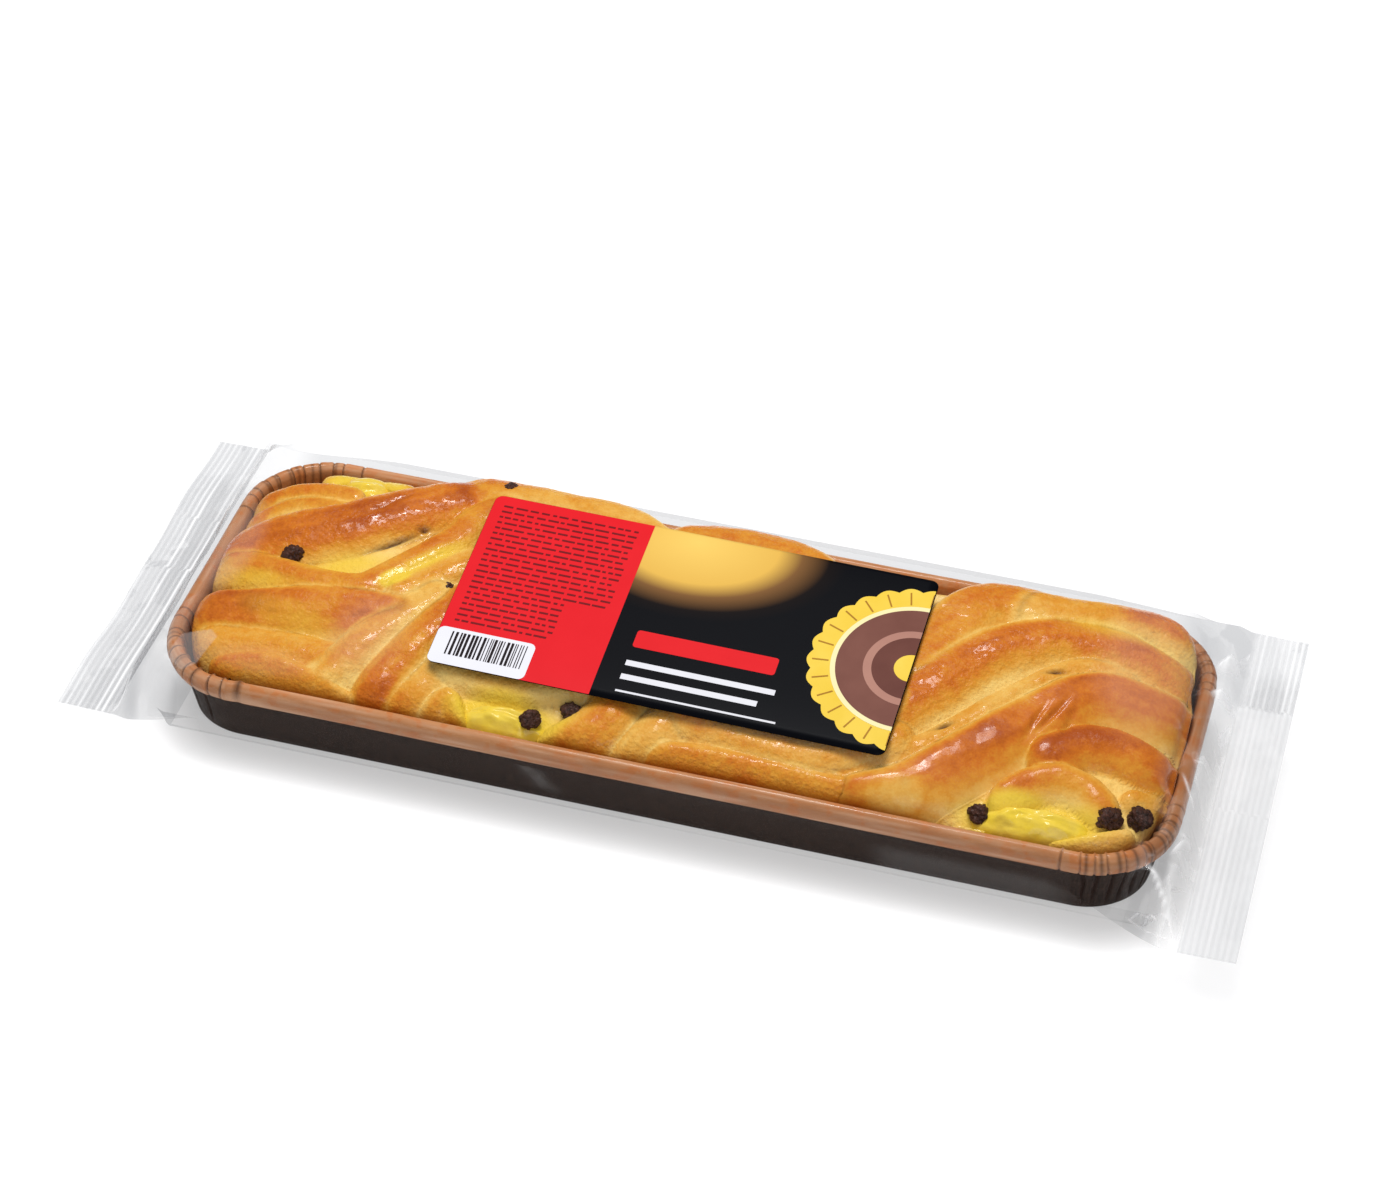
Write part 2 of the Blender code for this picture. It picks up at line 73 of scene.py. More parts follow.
tray_low, tray_high = box_in_mm("tray")
film_low, film_high = box_in_mm("film")
TRAY_LENGTH = tray_high.x - tray_low.x
TRAY_WIDTH = tray_high.y - tray_low.y
TRAY_HEIGHT = tray_high.z
TRAY_CORNER = 27.0
SEAL_OUTER = film_high.x
print(f"tray {TRAY_LENGTH:.1f} x {TRAY_WIDTH:.1f} x {TRAY_HEIGHT:.1f} mm, film {2 * SEAL_OUTER:.1f} mm long")

# %% [markdown]
# ## The camera
#
# The photograph looks down on the pack from its front, a little from the right, through a long lens.
# A camera that matches it is worth setting first.

# %% Camera
CAMERA_AZIMUTH = math.radians(14.82)
CAMERA_ELEVATION = math.radians(40.57)
CAMERA_ROLL = math.radians(1.19)
CAMERA_DISTANCE = 1063.4
CAMERA_TARGET = Vector((1.1, 5.9, 40.2))
CAMERA_LENS = 92.57

camera = bpy.data.objects.new("camera", bpy.data.cameras.new("camera"))
camera.data.lens = CAMERA_LENS
camera.data.sensor_width = 36.0
bpy.context.scene.collection.objects.link(camera)
backward = Vector((math.sin(CAMERA_AZIMUTH) * math.cos(CAMERA_ELEVATION),
                   -math.cos(CAMERA_AZIMUTH) * math.cos(CAMERA_ELEVATION),
                   math.sin(CAMERA_ELEVATION)))
level = Vector((math.cos(CAMERA_AZIMUTH), math.sin(CAMERA_AZIMUTH), 0.0))
upward = backward.cross(level)
right = level * math.cos(CAMERA_ROLL) + upward * math.sin(CAMERA_ROLL)
above = upward * math.cos(CAMERA_ROLL) - level * math.sin(CAMERA_ROLL)
eye = (CAMERA_TARGET + backward * CAMERA_DISTANCE) * MM
camera.matrix_world = Matrix.Translation(eye) @ Matrix((right, above, backward)).transposed().to_4x4()
bpy.context.scene.camera = camera
print("camera at, m:", [round(value, 3) for value in eye])

# %% [markdown]
# ## Floor and light
#
# The photograph is a cut-out on white with a soft shadow at the tray's foot. A wide soft box
# overhead, a little behind the pack, gives most of the light and throws that shadow forward. It is
# left out of reflections, or the crust would be washed over with grey. Two smaller boxes by it draw
# the sheen and the grainy highlights. A floor of middle grey keeps the shadow soft, and a little glow
# of its own brings the rest of it up to white.

# %% Floor
FLOOR_REACH = 3.0
FLOOR_DROP = 0.0002
FLOOR_GREY = (0.58, 0.58, 0.585, 1.0)
FLOOR_GLOW = 0.40
WHITE = (1.0, 1.0, 1.0, 1.0)

bm = bmesh.new()
under_pack = Matrix.Translation((0, 0, -FLOOR_DROP))
bmesh.ops.create_grid(bm, x_segments=1, y_segments=1, size=FLOOR_REACH, matrix=under_pack)
floor = bpy.data.objects.new("floor", bpy.data.meshes.new("floor"))
bm.to_mesh(floor.data)
bm.free()
white_floor = bpy.data.materials.new("white_floor")
white_floor.use_nodes = True
floor_shader = white_floor.node_tree.nodes["Principled BSDF"]
floor_shader.inputs["Base Color"].default_value = FLOOR_GREY
floor_shader.inputs["Roughness"].default_value = 0.9
floor_shader.inputs["Emission Color"].default_value = WHITE
floor_shader.inputs["Emission Strength"].default_value = FLOOR_GLOW
floor_shader.inputs["Specular IOR Level"].default_value = 0.0
floor.data.materials.append(white_floor)
bpy.context.scene.collection.objects.link(floor)
print(f"floor {2 * FLOOR_REACH:.0f} m across, glow {FLOOR_GLOW}")


# %% Soft boxes, all aimed at the pack
SOFT_BOXES = {
    "key": ((-0.12, 0.16, 1.10), 0.80, 0.60, 8.8),
    "sheen": ((-0.10, 0.26, 1.10), 0.40, 0.30, 3.4),
    "glint": ((-0.14, 0.30, 1.08), 0.14, 0.12, 1.3),
    "fill": ((0.6, -1.3, 0.9), 1.0, 0.8, 4.0),
}
for name, (place, width, depth, watts) in SOFT_BOXES.items():
    light = bpy.data.lights.new(name, "AREA")
    light.shape = "RECTANGLE"
    light.size = width
    light.size_y = depth
    light.energy = watts
    lamp = bpy.data.objects.new(name, light)
    lamp.visible_glossy = name != "key"
    bpy.context.scene.collection.objects.link(lamp)
    aim = (-Vector(place)).to_track_quat("-Z", "Y").to_matrix().to_4x4()
    lamp.matrix_world = Matrix.Translation(place) @ aim
    print(f"{name}: {width} x {depth} m, {watts} W")

# %% White surroundings, dimmer as a light and dimmer still in reflections
ROOM_LIGHT = 0.40
ROOM_REFLECTION = 0.14
world = bpy.data.worlds.new("studio")
world.use_nodes = True
bpy.context.scene.world = world
nodes, links = world.node_tree.nodes, world.node_tree.links
seen = nodes.new("ShaderNodeLightPath")
lighting = nodes.new("ShaderNodeMix")
lighting.data_type = "FLOAT"
lighting.inputs["A"].default_value = ROOM_LIGHT
lighting.inputs["B"].default_value = ROOM_REFLECTION
links.new(seen.outputs["Is Glossy Ray"], lighting.inputs["Factor"])
strength = nodes.new("ShaderNodeMix")
strength.data_type = "FLOAT"
strength.inputs["B"].default_value = 1.0
links.new(seen.outputs["Is Camera Ray"], strength.inputs["Factor"])
links.new(lighting.outputs["Result"], strength.inputs["A"])
links.new(strength.outputs["Result"], nodes["Background"].inputs["Strength"])
nodes["Background"].inputs["Color"].default_value = WHITE
bpy.context.scene.view_settings.view_transform = "Standard"
print(f"surroundings {ROOM_LIGHT} as a light, {ROOM_REFLECTION} in reflections")

# %% [markdown]
# ## Shared helpers
#
# Most pieces start as a flat grid whose points are then moved by a rule. Working on all the points
# at once with arrays keeps that quick. A piece is made in millimetres and scaled once, at its end.


# %% Ramps, slow noise and ovals
def ramp(value, start, end):
    """0 at start and 1 at end, straight between them and level beyond."""
    return np.clip((value - start) / (end - start), 0.0, 1.0)


def smooth(value, start, end):
    """The same with soft ends."""
    part = ramp(value, start, end)
    return part * part * (3.0 - 2.0 * part)


def between(start, end, part):
    """The value that lies a part of the way from start to end."""
    return start + (end - start) * part


def lumps(x, y, z, size, seed):
    """Smooth noise from about -1 to 1, with lumps of the given size in mm."""
    shift = Vector((seed * 7.3, seed * 3.1, seed * 5.7))
    places = zip(np.ravel(x), np.ravel(y), np.ravel(z))
    values = [noise.noise(Vector(place) / size + shift) for place in places]
    return np.array(values).reshape(np.shape(x))


def oval_reach(x, y, oval):
    """1 on an oval's outline, less inside it and more outside."""
    middle_x, middle_y, half_long, half_wide, turn = oval
    turn = math.radians(turn)
    along = math.cos(turn) * (x - middle_x) + math.sin(turn) * (y - middle_y)
    across = math.cos(turn) * (y - middle_y) - math.sin(turn) * (x - middle_x)
    return np.hypot(along / half_long, across / half_wide)


def soft_oval(x, y, oval, start, end):
    """1 within an oval and 0 outside it, with a soft edge between two reaches."""
    return 1 - smooth(oval_reach(x, y, oval), start, end)


# %% Grids and finished pieces
def grid_of(columns, rows):
    """A new grid with its corners' places u and v, both from 0 to 1."""
    bm = bmesh.new()
    bmesh.ops.create_grid(bm, x_segments=columns, y_segments=rows, size=0.5)
    u, v = np.array([vert.co[:2] for vert in bm.verts]).T + 0.5
    return bm, u, v


def move_to(bm, x, y, z):
    for vert, place in zip(bm.verts, zip(x, y, z)):
        vert.co = place


def mark(bm, name, values):
    """Keep one number for each corner as an attribute that a material can read."""
    layer = bm.verts.layers.float.new(name)
    for vert, value in zip(bm.verts, values):
        vert[layer] = value


def finish_piece(name, bm, material, node):
    """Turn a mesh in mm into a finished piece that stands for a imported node."""
    bmesh.ops.scale(bm, vec=(MM, MM, MM), verts=bm.verts)
    mesh = bpy.data.meshes.new(name)
    bm.to_mesh(mesh)
    bm.free()
    mesh.shade_smooth()
    mesh.materials.append(material)
    piece = bpy.data.objects.new(name, mesh)
    bpy.context.scene.collection.objects.link(piece)
    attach(piece, "root")
    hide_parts(node)
    triangles = sum(len(face.vertices) - 2 for face in mesh.polygons)
    print(f"{name}: {triangles} triangles")
    return piece


# %% [markdown]
# ## Shared finishes
#
# Two effects turn up in several materials: cloudy mottling, and a fine skin of bumps. Each is built
# once as a node group. Sizes are given as cells for each metre of Object coordinates.


# %% Node helpers
def srgb(red, green, blue):
    """A colour given as it looks on screen, from 0 to 255, as the linear one that shaders use."""
    values = np.array([red, green, blue]) / 255.0
    return (*np.where(values < 0.04045, values / 12.92, ((values + 0.055) / 1.055) ** 2.4), 1.0)


def mix_colours(tree, factor, first, second, blend="MIX"):
    """Mix two colours by a factor, each of them a socket or a plain value."""
    node = tree.nodes.new("ShaderNodeMix")
    node.data_type = "RGBA"
    node.blend_type = blend
    for name, value in (("Factor", factor), ("A", first), ("B", second)):
        sockets = [item for item in node.inputs if item.name == name and item.enabled]
        if isinstance(value, bpy.types.NodeSocket):
            tree.links.new(value, sockets[0])
        else:
            sockets[0].default_value = value
    return [item for item in node.outputs if item.enabled][0]


def calculate(tree, operation, *values, clamp=False):
    """One Math node, with sockets or numbers as its inputs."""
    node = tree.nodes.new("ShaderNodeMath")
    node.operation = operation
    node.use_clamp = clamp
    for socket, value in zip(node.inputs, values):
        if isinstance(value, bpy.types.NodeSocket):
            tree.links.new(value, socket)
        else:
            socket.default_value = value
    return node.outputs["Value"]


def attribute(tree, name):
    node = tree.nodes.new("ShaderNodeAttribute")
    node.attribute_name = name
    return node.outputs["Fac"]


def colour_ramp(tree, factor, stops):
    """Colours along a factor, given as pairs of a place and a colour."""
    node = tree.nodes.new("ShaderNodeValToRGB")
    while len(node.color_ramp.elements) < len(stops):
        node.color_ramp.elements.new(1.0)
    for element, (place, colour) in zip(node.color_ramp.elements, stops):
        element.position = place
        element.color = colour
    tree.links.new(factor, node.inputs["Fac"])
    return node.outputs["Color"]


def mapped_place(tree, **values):
    """Object coordinates, moved, turned or stretched by a Mapping node."""
    place = tree.nodes.new("ShaderNodeTexCoord")
    mapping = tree.nodes.new("ShaderNodeMapping")
    for name, value in values.items():
        mapping.inputs[name].default_value = value
    tree.links.new(place.outputs["Object"], mapping.inputs["Vector"])
    return mapping.outputs["Vector"]


# %% Mottling and fine skin as node groups
COARSE_SCALE = 0.3


def new_group(name, inputs, output):
    """An empty node group of number sockets, with the nodes for what comes in and goes out."""
    group = bpy.data.node_groups.new(name, "ShaderNodeTree")
    for socket in inputs:
        group.interface.new_socket(socket, in_out="INPUT", socket_type="NodeSocketFloat")
    group.interface.new_socket(output, in_out="OUTPUT", socket_type="NodeSocketFloat")
    return group, group.nodes.new("NodeGroupInput"), group.nodes.new("NodeGroupOutput")


def cloud_noise(group, cells, detail):
    """Noise on Object coordinates, with a socket that says how many cells there are in a metre."""
    place = group.nodes.new("ShaderNodeTexCoord")
    cloud = group.nodes.new("ShaderNodeTexNoise")
    cloud.inputs["Detail"].default_value = detail
    group.links.new(place.outputs["Object"], cloud.inputs["Vector"])
    group.links.new(cells, cloud.inputs["Scale"])
    return cloud.outputs["Fac"]


def make_mottle_group():
    group, inward, outward = new_group("Mottle", ("Cells", "Sharpness"), "Mask")
    centred = calculate(group, "ADD", cloud_noise(group, inward.outputs["Cells"], 3.0), -0.5)
    spread = calculate(group, "MULTIPLY_ADD", centred, inward.outputs["Sharpness"], 0.5, clamp=True)
    group.links.new(spread, outward.inputs["Mask"])
    return group


def make_skin_group():
    group, inward, outward = new_group("Fine skin", ("Cells", "Coarse part"), "Height")
    fine = cloud_noise(group, inward.outputs["Cells"], 2.0)
    fewer_cells = calculate(group, "MULTIPLY", inward.outputs["Cells"], COARSE_SCALE)
    coarse = cloud_noise(group, fewer_cells, 2.0)
    coarse = calculate(group, "MULTIPLY", coarse, inward.outputs["Coarse part"])
    group.links.new(calculate(group, "ADD", coarse, fine), outward.inputs["Height"])
    return group


MOTTLE = make_mottle_group()
SKIN = make_skin_group()
print("node groups:", MOTTLE.name, "and", SKIN.name)


# %% Put the groups into a material
def mottle(tree, cells, sharpness):
    node = tree.nodes.new("ShaderNodeGroup")
    node.node_tree = MOTTLE
    node.inputs["Cells"].default_value = cells
    node.inputs["Sharpness"].default_value = sharpness
    return node.outputs["Mask"]


def skin_bump(tree, cells, coarse_part, depth, share=1.0):
    """A bump of the given depth in mm, or of a share of it, wired into the shader's normal."""
    node = tree.nodes.new("ShaderNodeGroup")
    node.node_tree = SKIN
    node.inputs["Cells"].default_value = cells
    node.inputs["Coarse part"].default_value = coarse_part
    bump = tree.nodes.new("ShaderNodeBump")
    bump.inputs["Distance"].default_value = depth * MM
    tree.links.new(calculate(tree, "MULTIPLY", node.outputs["Height"], share), bump.inputs["Height"])
    tree.links.new(bump.outputs["Normal"], tree.nodes["Principled BSDF"].inputs["Normal"])


def new_finish(name, roughness, specular, coat=0.0, coat_roughness=0.1):
    """A node material with its plain numbers set on the shader."""
    material = bpy.data.materials.new(name)
    material.use_nodes = True
    shader = material.node_tree.nodes["Principled BSDF"]
    shader.inputs["Roughness"].default_value = roughness
    shader.inputs["Specular IOR Level"].default_value = specular
    shader.inputs["Coat Weight"].default_value = coat
    shader.inputs["Coat Roughness"].default_value = coat_roughness
    return material, material.node_tree, shader


# %% [markdown]
# ## The paper tray
#
# The real tray is pressed from coated paper: dark brown outside, copper brown within, its rim rolled
# outwards. At the corners the spare paper is gathered into short segments with dark lines between.
#
# One grid is wrapped round the tray: its columns run round the outline, its rows up the outside,
# over the roll and down the inside. The gathers are dents at uneven steps along the outline.

# %% The outline of the tray
BASE_INSET = 7.2
FINE_STEP = 0.3
FINE_REACH = 34.0
COARSE_COLUMNS = (134, 26, 134, 26)
ARC_LENGTH = TRAY_CORNER * math.pi / 2

half_x = TRAY_LENGTH / 2 - TRAY_CORNER
half_y = TRAY_WIDTH / 2 - TRAY_CORNER
knot_x = np.array([-1, 1, 1, 1, 1, -1, -1, -1, -1]) * half_x
knot_y = np.array([-1, -1, -1, 1, 1, 1, 1, -1, -1]) * half_y
knot_turn = np.radians([-90, -90, 0, 0, 90, 90, 180, 180, 270])
knot_run = np.cumsum([0] + [2 * half_x, ARC_LENGTH, 2 * half_y, ARC_LENGTH] * 2)
corner_run = knot_run[1::2] + ARC_LENGTH / 2
column_run = [0.0]
column_count = [0]
for middle, coarse in zip(corner_run, COARSE_COLUMNS):
    column_run += [middle - FINE_REACH, middle + FINE_REACH]
    column_count += [coarse, int(2 * FINE_REACH / FINE_STEP)]
column_run.append(knot_run[-1])
column_count = np.cumsum(column_count + [4])
print(f"outline {knot_run[-1]:.0f} mm long in {column_count[-1]} columns")


def along_outline(u):
    """For a place u round the tray: the corner's centre, the way out and the run along the rim."""
    run = np.interp(u * column_count[-1], column_count, column_run)
    return [np.interp(run, knot_run, knot) for knot in (knot_x, knot_y, knot_turn)] + [run]


# %% The profile of the wall and the rolled rim: inset, height and 1 where it is the dark outside
ROLL_WIDE = 5.0
ROLL_TALL = 7.0
PAPER = 1.0
FOOT_HEIGHT = 1.2
INNER_FOOT_HEIGHT = 2.2
WALL_STEPS = 12
ROLL_STEPS = 16
INSIDE_STEPS = 10
roll_z = TRAY_HEIGHT - ROLL_TALL / 2
foot = (BASE_INSET, FOOT_HEIGHT)
under_roll = (3.6, roll_z - 3.0)
in_roll = (4.7, roll_z + 1.2)
inner_foot = (BASE_INSET + PAPER, INNER_FOOT_HEIGHT)


def straight_rows(start, end, steps, outside):
    """Rows from just past one place on the profile to another."""
    places = [np.add(start, np.subtract(end, start) * step / steps) for step in range(1, steps + 1)]
    return [(inset, height, outside) for inset, height in places]


profile = [(BASE_INSET + 2.2, 0.0, 1.0), (BASE_INSET + 0.8, 0.25, 1.0), (*foot, 1.0)]
profile += straight_rows(foot, under_roll, WALL_STEPS, 1.0)
profile.append((2.9, roll_z - 3.15, 0.6))
for step in range(ROLL_STEPS + 1):
    turn = math.radians(-95 + 250 * step / ROLL_STEPS)
    profile.append((ROLL_WIDE / 2 * (1 - math.cos(turn)), roll_z + ROLL_TALL / 2 * math.sin(turn), 0.0))
profile += straight_rows(in_roll, inner_foot, INSIDE_STEPS, 0.0)
profile.append((BASE_INSET + 3.0, PAPER, 0.0))
profile_inset, profile_height, profile_outer = np.array(profile).T
print(len(profile), "rows over the wall")

# %% Gathers on the roll and pleats down the wall, with a count and a depth of pleats for each corner
GATHER_STEP = 5.0
GATHERS = 11
PLEATS = {
    "front_right": (8, 0.9),
    "back_right": (7, 0.6),
    "back_left": (8, 0.7),
    "front_left": (3, 0.6),
}
rng = np.random.default_rng(7)
gathers = []
pleats = []
for middle, (count, depth) in zip(corner_run, PLEATS.values()):
    spread = (np.arange(GATHERS) - (GATHERS - 1) / 2) * GATHER_STEP
    gathers += list(middle + spread + rng.uniform(-1.1, 1.1, GATHERS))
    pleat_places = middle + (np.arange(count) - (count - 1) / 2) * ARC_LENGTH / (count + 1)
    pleats += [(place + rng.uniform(-1.5, 1.5), depth) for place in pleat_places]
gathers = np.sort(gathers)
print(len(gathers), "gathers,", len(pleats), "pleats")


def groove_at(run, places, width):
    """1 in the middle of each groove, falling to 0 within its width."""
    loop = knot_run[-1]
    total = np.zeros_like(run)
    for place in places:
        away = (run - place + loop / 2) % loop - loop / 2
        total = np.maximum(total, np.exp(-(away / width) ** 2))
    return total


# %% Wrap the grid round the tray
GROOVE_DEPTH = 0.75
GROOVE_WIDTH = 0.30
PLEAT_WIDTH = 0.6
CORNER_SPREAD = 24.0

bm, u, v = grid_of(int(column_count[-1]), len(profile) - 1)
centre_x, centre_y, turn, run = along_outline(u)
row = v * (len(profile) - 1)
inset = np.interp(row, range(len(profile)), profile_inset)
height = np.interp(row, range(len(profile)), profile_height)
outer = np.interp(row, range(len(profile)), profile_outer)
on_roll = smooth(height, roll_z - 4.5, roll_z - 2.5)
on_wall = smooth(height, 0.5, 8.0)
segment = np.searchsorted(gathers, run % knot_run[-1])
segment_shift = rng.uniform(-0.22, 0.22, len(gathers) + 1)[segment]
near_corner = groove_at(run, corner_run, CORNER_SPREAD)
skew = 0.8 * lumps(run, height, 0 * run, 7.0, 8)
groove = groove_at(run + skew, gathers, GROOVE_WIDTH)
pleat = np.zeros_like(run)
for place, depth in pleats:
    pleat = np.maximum(pleat, depth * groove_at(run + skew, [place], PLEAT_WIDTH))
dent = (GROOVE_DEPTH * groove - segment_shift * near_corner) * on_roll + pleat * on_wall * (1 - on_roll)
slow_wave = 0.25 * lumps(run, height * 0.4, 0 * run, 34.0, 1) * on_wall
cut_edge = smooth(height, roll_z - 4.2, roll_z - 3.0) * (height < roll_z) * outer
ragged = 0.28 * lumps(run, height, 0 * run, 1.3, 2) * cut_edge
reach = TRAY_CORNER - inset - dent + slow_wave
move_to(bm, centre_x + reach * np.cos(turn), centre_y + reach * np.sin(turn), height + ragged)

# %% Marks for the tray's finish: pale streaks, the dark outside, and the painted shade in each groove and pleat
long_streak = lumps(run * 0.035, row * 1.6, 0 * run, 1.0, 41)
short_streak = lumps(run * 0.09, row * 2.9, 0 * run, 1.0, 42)
roll_shade = groove * on_roll * np.where(centre_x < 0, 0.9, 0.5)
mark(bm, "pale_streak", np.clip(1.6 * (long_streak + 0.6 * short_streak), 0.0, 1.0) * on_roll)
mark(bm, "outer_wall", np.where(outer > 0.5, 1.0, 0.0))
mark(bm, "groove", np.maximum(roll_shade, 0.8 * pleat * on_wall))
bmesh.ops.remove_doubles(bm, verts=bm.verts, dist=0.001)
bmesh.ops.holes_fill(bm, edges=[edge for edge in bm.edges if edge.is_boundary], sides=0)
bmesh.ops.recalc_face_normals(bm, faces=bm.faces)

# %% [markdown]
# The finish of the tray is coated paper. Outside it is nearly black brown with a fine upright grain.
# Inside and on the roll it is copper brown, with pale streaks along the roll and orange spots where fat
# has soaked in. One material holds both, because the tray is one sheet: marks on its points say which
# is which, and where painted shade darkens its grooves and pleats.

# %% Paper finish
COPPER = srgb(164, 106, 68)
COPPER_LIGHT = srgb(184, 130, 88)
GREASE = srgb(182, 100, 40)
STREAK_PALE = srgb(206, 164, 132)
WALL_DARK = srgb(58, 43, 36)
WALL_DEEP = srgb(32, 23, 19)
GROOVE_SHADE = srgb(44, 24, 16)
material, tree, shader = new_finish("baking_paper", 0.5, 0.1, coat_roughness=0.13)
gloss = calculate(tree, "SUBTRACT", 0.45, attribute(tree, "outer_wall"), clamp=True)
tree.links.new(gloss, shader.inputs["Coat Weight"])
copper = mix_colours(tree, mottle(tree, 60.0, 1.6), COPPER, COPPER_LIGHT)
spots = calculate(tree, "SUBTRACT", mottle(tree, 260.0, 5.0), 0.55, clamp=True)
copper = mix_colours(tree, spots, copper, GREASE)
pale_streak_share = calculate(tree, "MULTIPLY", attribute(tree, "pale_streak"), 0.55)
copper = mix_colours(tree, pale_streak_share, copper, STREAK_PALE)
grain = tree.nodes.new("ShaderNodeTexNoise")
grain.inputs["Scale"].default_value = 1.0
tree.links.new(mapped_place(tree, Scale=(1800.0, 1800.0, 90.0)), grain.inputs["Vector"])
streaks = calculate(tree, "MULTIPLY_ADD", grain.outputs["Fac"], 1.8, -0.4, clamp=True)
wall = mix_colours(tree, streaks, WALL_DEEP, WALL_DARK)
paper = mix_colours(tree, attribute(tree, "outer_wall"), copper, wall)
# Painted shade: the grooves on the roll and the pleats down the wall are darkened in the colour, more at the
# left end.
shade = calculate(tree, "MULTIPLY", attribute(tree, "groove"), 0.85)
paper = mix_colours(tree, shade, paper, GROOVE_SHADE)
tree.links.new(paper, shader.inputs["Base Color"])
skin_bump(tree, 900.0, 1.5, 0.12)
finish_piece("paper_tray", bm, material, "tray")

# %% [markdown]
# ## The shape of the braid
#
# A baker cuts the filled roll lengthwise and twists the halves, so strands cross the loaf on the
# slant and custard shows between them. Each strand here has a crest that runs along a smooth route.
# Its back side is short and steep and its front side long and gentle, as if it leaned backwards.
# The loaf's top is the highest strand at each place, with a soft crease where two of them meet.

# %% The strands: lift, back and front half width, browning of crest and flank, and the crest's route
STRANDS = {
    "great_left": (1.0, 8, 16, 0.88, 0.46,
                   (-145, 0), (-136, 5), (-120, 11), (-105, 19), (-90, 30), (-77, 40)),
    "hump_left": (3.5, 8, 17, 0.34, 0.12, (-73, 45), (-58, 43), (-42, 40), (-27, 34), (1, 6), (28, -24)),
    "hump_middle": (2.5, 8, 16, 0.62, 0.26, (-8, 34), (4, 39), (17, 38), (29, 31), (45, 13), (62, -12)),
    "hump_right": (2.0, 7, 18, 0.60, 0.28, (66, 4), (71, 15), (77, 26), (85, 35), (95, 35)),
    "back_right": (2.5, 7, 14, 0.50, 0.00, (99, 33), (111, 34), (123, 38), (133, 41), (141, 40)),
    "corner_upper": (-2.5, 3, 8, 0.62, 0.30, (-142, 26), (-134, 28), (-126, 29), (-116, 28)),
    "corner_lower": (-3.0, 3, 9, 0.66, 0.40, (-142, 17), (-135, 21), (-126, 22), (-116, 21)),
    "corner_crust": (-5.5, 3, 5, 0.60, 0.30, (-127, 41), (-121, 46), (-112, 46), (-103, 42)),
    "hook": (0.3, 5, 9, 0.60, 0.36,
             (-142, -6), (-120, -10), (-102, -11), (-94, -5), (-80, 12), (-75, 23), (-67, 35)),
    "wide_left": (0.3, 5, 17, 0.76, 0.42, (-140, -23), (-130, -22), (-105, -17), (-86, -16)),
    "low_left": (-1.2, 10, 8, 0.45, 0.38, (-136, -38), (-124, -38), (-109, -38), (-99, -40)),
    "dark_front": (0.7, 4, 7, 0.58, 0.40, (-131, -47), (-120, -44), (-110, -45), (-92, -50)),
    "inner_left": (0.3, 5, 9, 0.45, 0.15, (-87, -8), (-76, 2), (-68, 8), (-56, 12), (-42, 14)),
    "slant_a": (0.3, 8, 8, 0.20, -0.05, (-99, -44), (-94, -35), (-89, -26), (-77, -9)),
    "slant_b": (0.5, 8, 10, 0.70, 0.40, (-85, -52), (-81, -38), (-70, -13), (-60, -2), (-48, 4)),
    "slant_c": (-0.5, 7, 8, 0.45, 0.10, (-75, -50), (-69, -38), (-63, -26), (-52, -14), (-38, -6)),
    "pool_lip": (0.0, 4, 4, 0.52, 0.25, (-66, -51), (-62, -43), (-58, -49)),
    "over_pool": (0.4, 9, 4, 0.30, 0.10, (-66, -34), (-44, -35), (-26, -31)),
    "middle": (0.6, 10, 11, 0.55, 0.30, (-25, -52), (-17, -43), (-13, -34), (-17, -20), (-27, -6), (-40, 3)),
    "middle_front": (0.4, 9, 10, 0.40, 0.22, (-4, -52), (0, -43), (6, -32), (12, -22)),
    "under_label": (0.9, 10, 5, 0.48, 0.36, (6, -35), (20, -37), (48, -39), (68, -29)),
    "long_front": (0.5, 5, 8, 0.58, 0.42, (2, -51), (7, -47), (20, -46), (60, -47), (74, -42)),
    "glossy": (1.0, 6, 17, 0.84, 0.34,
               (62, -46), (76, -38), (94, -19), (109, -3), (117, 4), (127, 7), (147, 8)),
    "thin_right": (-1.0, 4, 5, 0.40, 0.28, (56, -41), (76, -27), (94, -7), (110, 9), (120, 13), (129, 12)),
    "arc": (0.8, 6, 17, 0.76, 0.20,
            (60, -20), (70, -7), (86, 12), (103, 23), (113, 25), (127, 24), (147, 21)),
    "lens": (0.8, 5, 10, 1.02, 0.68, (112, -20), (120, -14), (129, -12), (138, -13), (147, -15)),
    "cap": (0.0, 4, 8, 0.66, 0.32, (103, -37), (109, -31), (117, -28), (125, -29), (131, -33)),
    "front_lip": (-1.0, 3, 4, 0.35, 0.25, (93, -51), (106, -51), (121, -50), (139, -42)),
    "end_bump": (-1.5, 4, 5, 0.45, 0.40, (139, -28), (147, -27)),
}
SMOOTHNESS = {"glossy": 0.75, "lens": 0.6, "cap": 0.5, "wide_left": 0.3}
print(len(STRANDS), "strands")

# %% Sizes of the crown and of the strands' sides
LOAF_INSET_TOP = 6.3
LOAF_INSET_FOOT = 10.0
LOAF_FOOT = 1.35
LOAF_EDGE_HEIGHT = 26.0
CROWN_RISE = 12.6
CROWN_LEAN = 0.16
CROWN_HALF_LENGTH = 153.0
CROWN_HALF_WIDTH = 53.0
GROOVE_FLOOR = 4.5
BACK_DIP = 4.5
SIDE_SHOULDER = (7.0, 4.0)
END_SHOULDER = (3.0, 1.8)
CRUMB_LEVEL = 11.0
BACK_DROP = 0.95
FRONT_DROP = 0.55
BACK_POWER = 2.4
FRONT_POWER = 1.6
ROUTE_STEP = 1.5
FLANK_SLOPE = 3.0
CREASE = 0.35
PALE_CREASE = 0.16
BACK_DIP_RAMP = (28.0, 42.0)
CORNER_RAMP_Y = (24.0, 34.0)
CORNER_RAMP_X = (-92.0, -104.0)
LEFT_RAMP = (-139.0, -142.0)
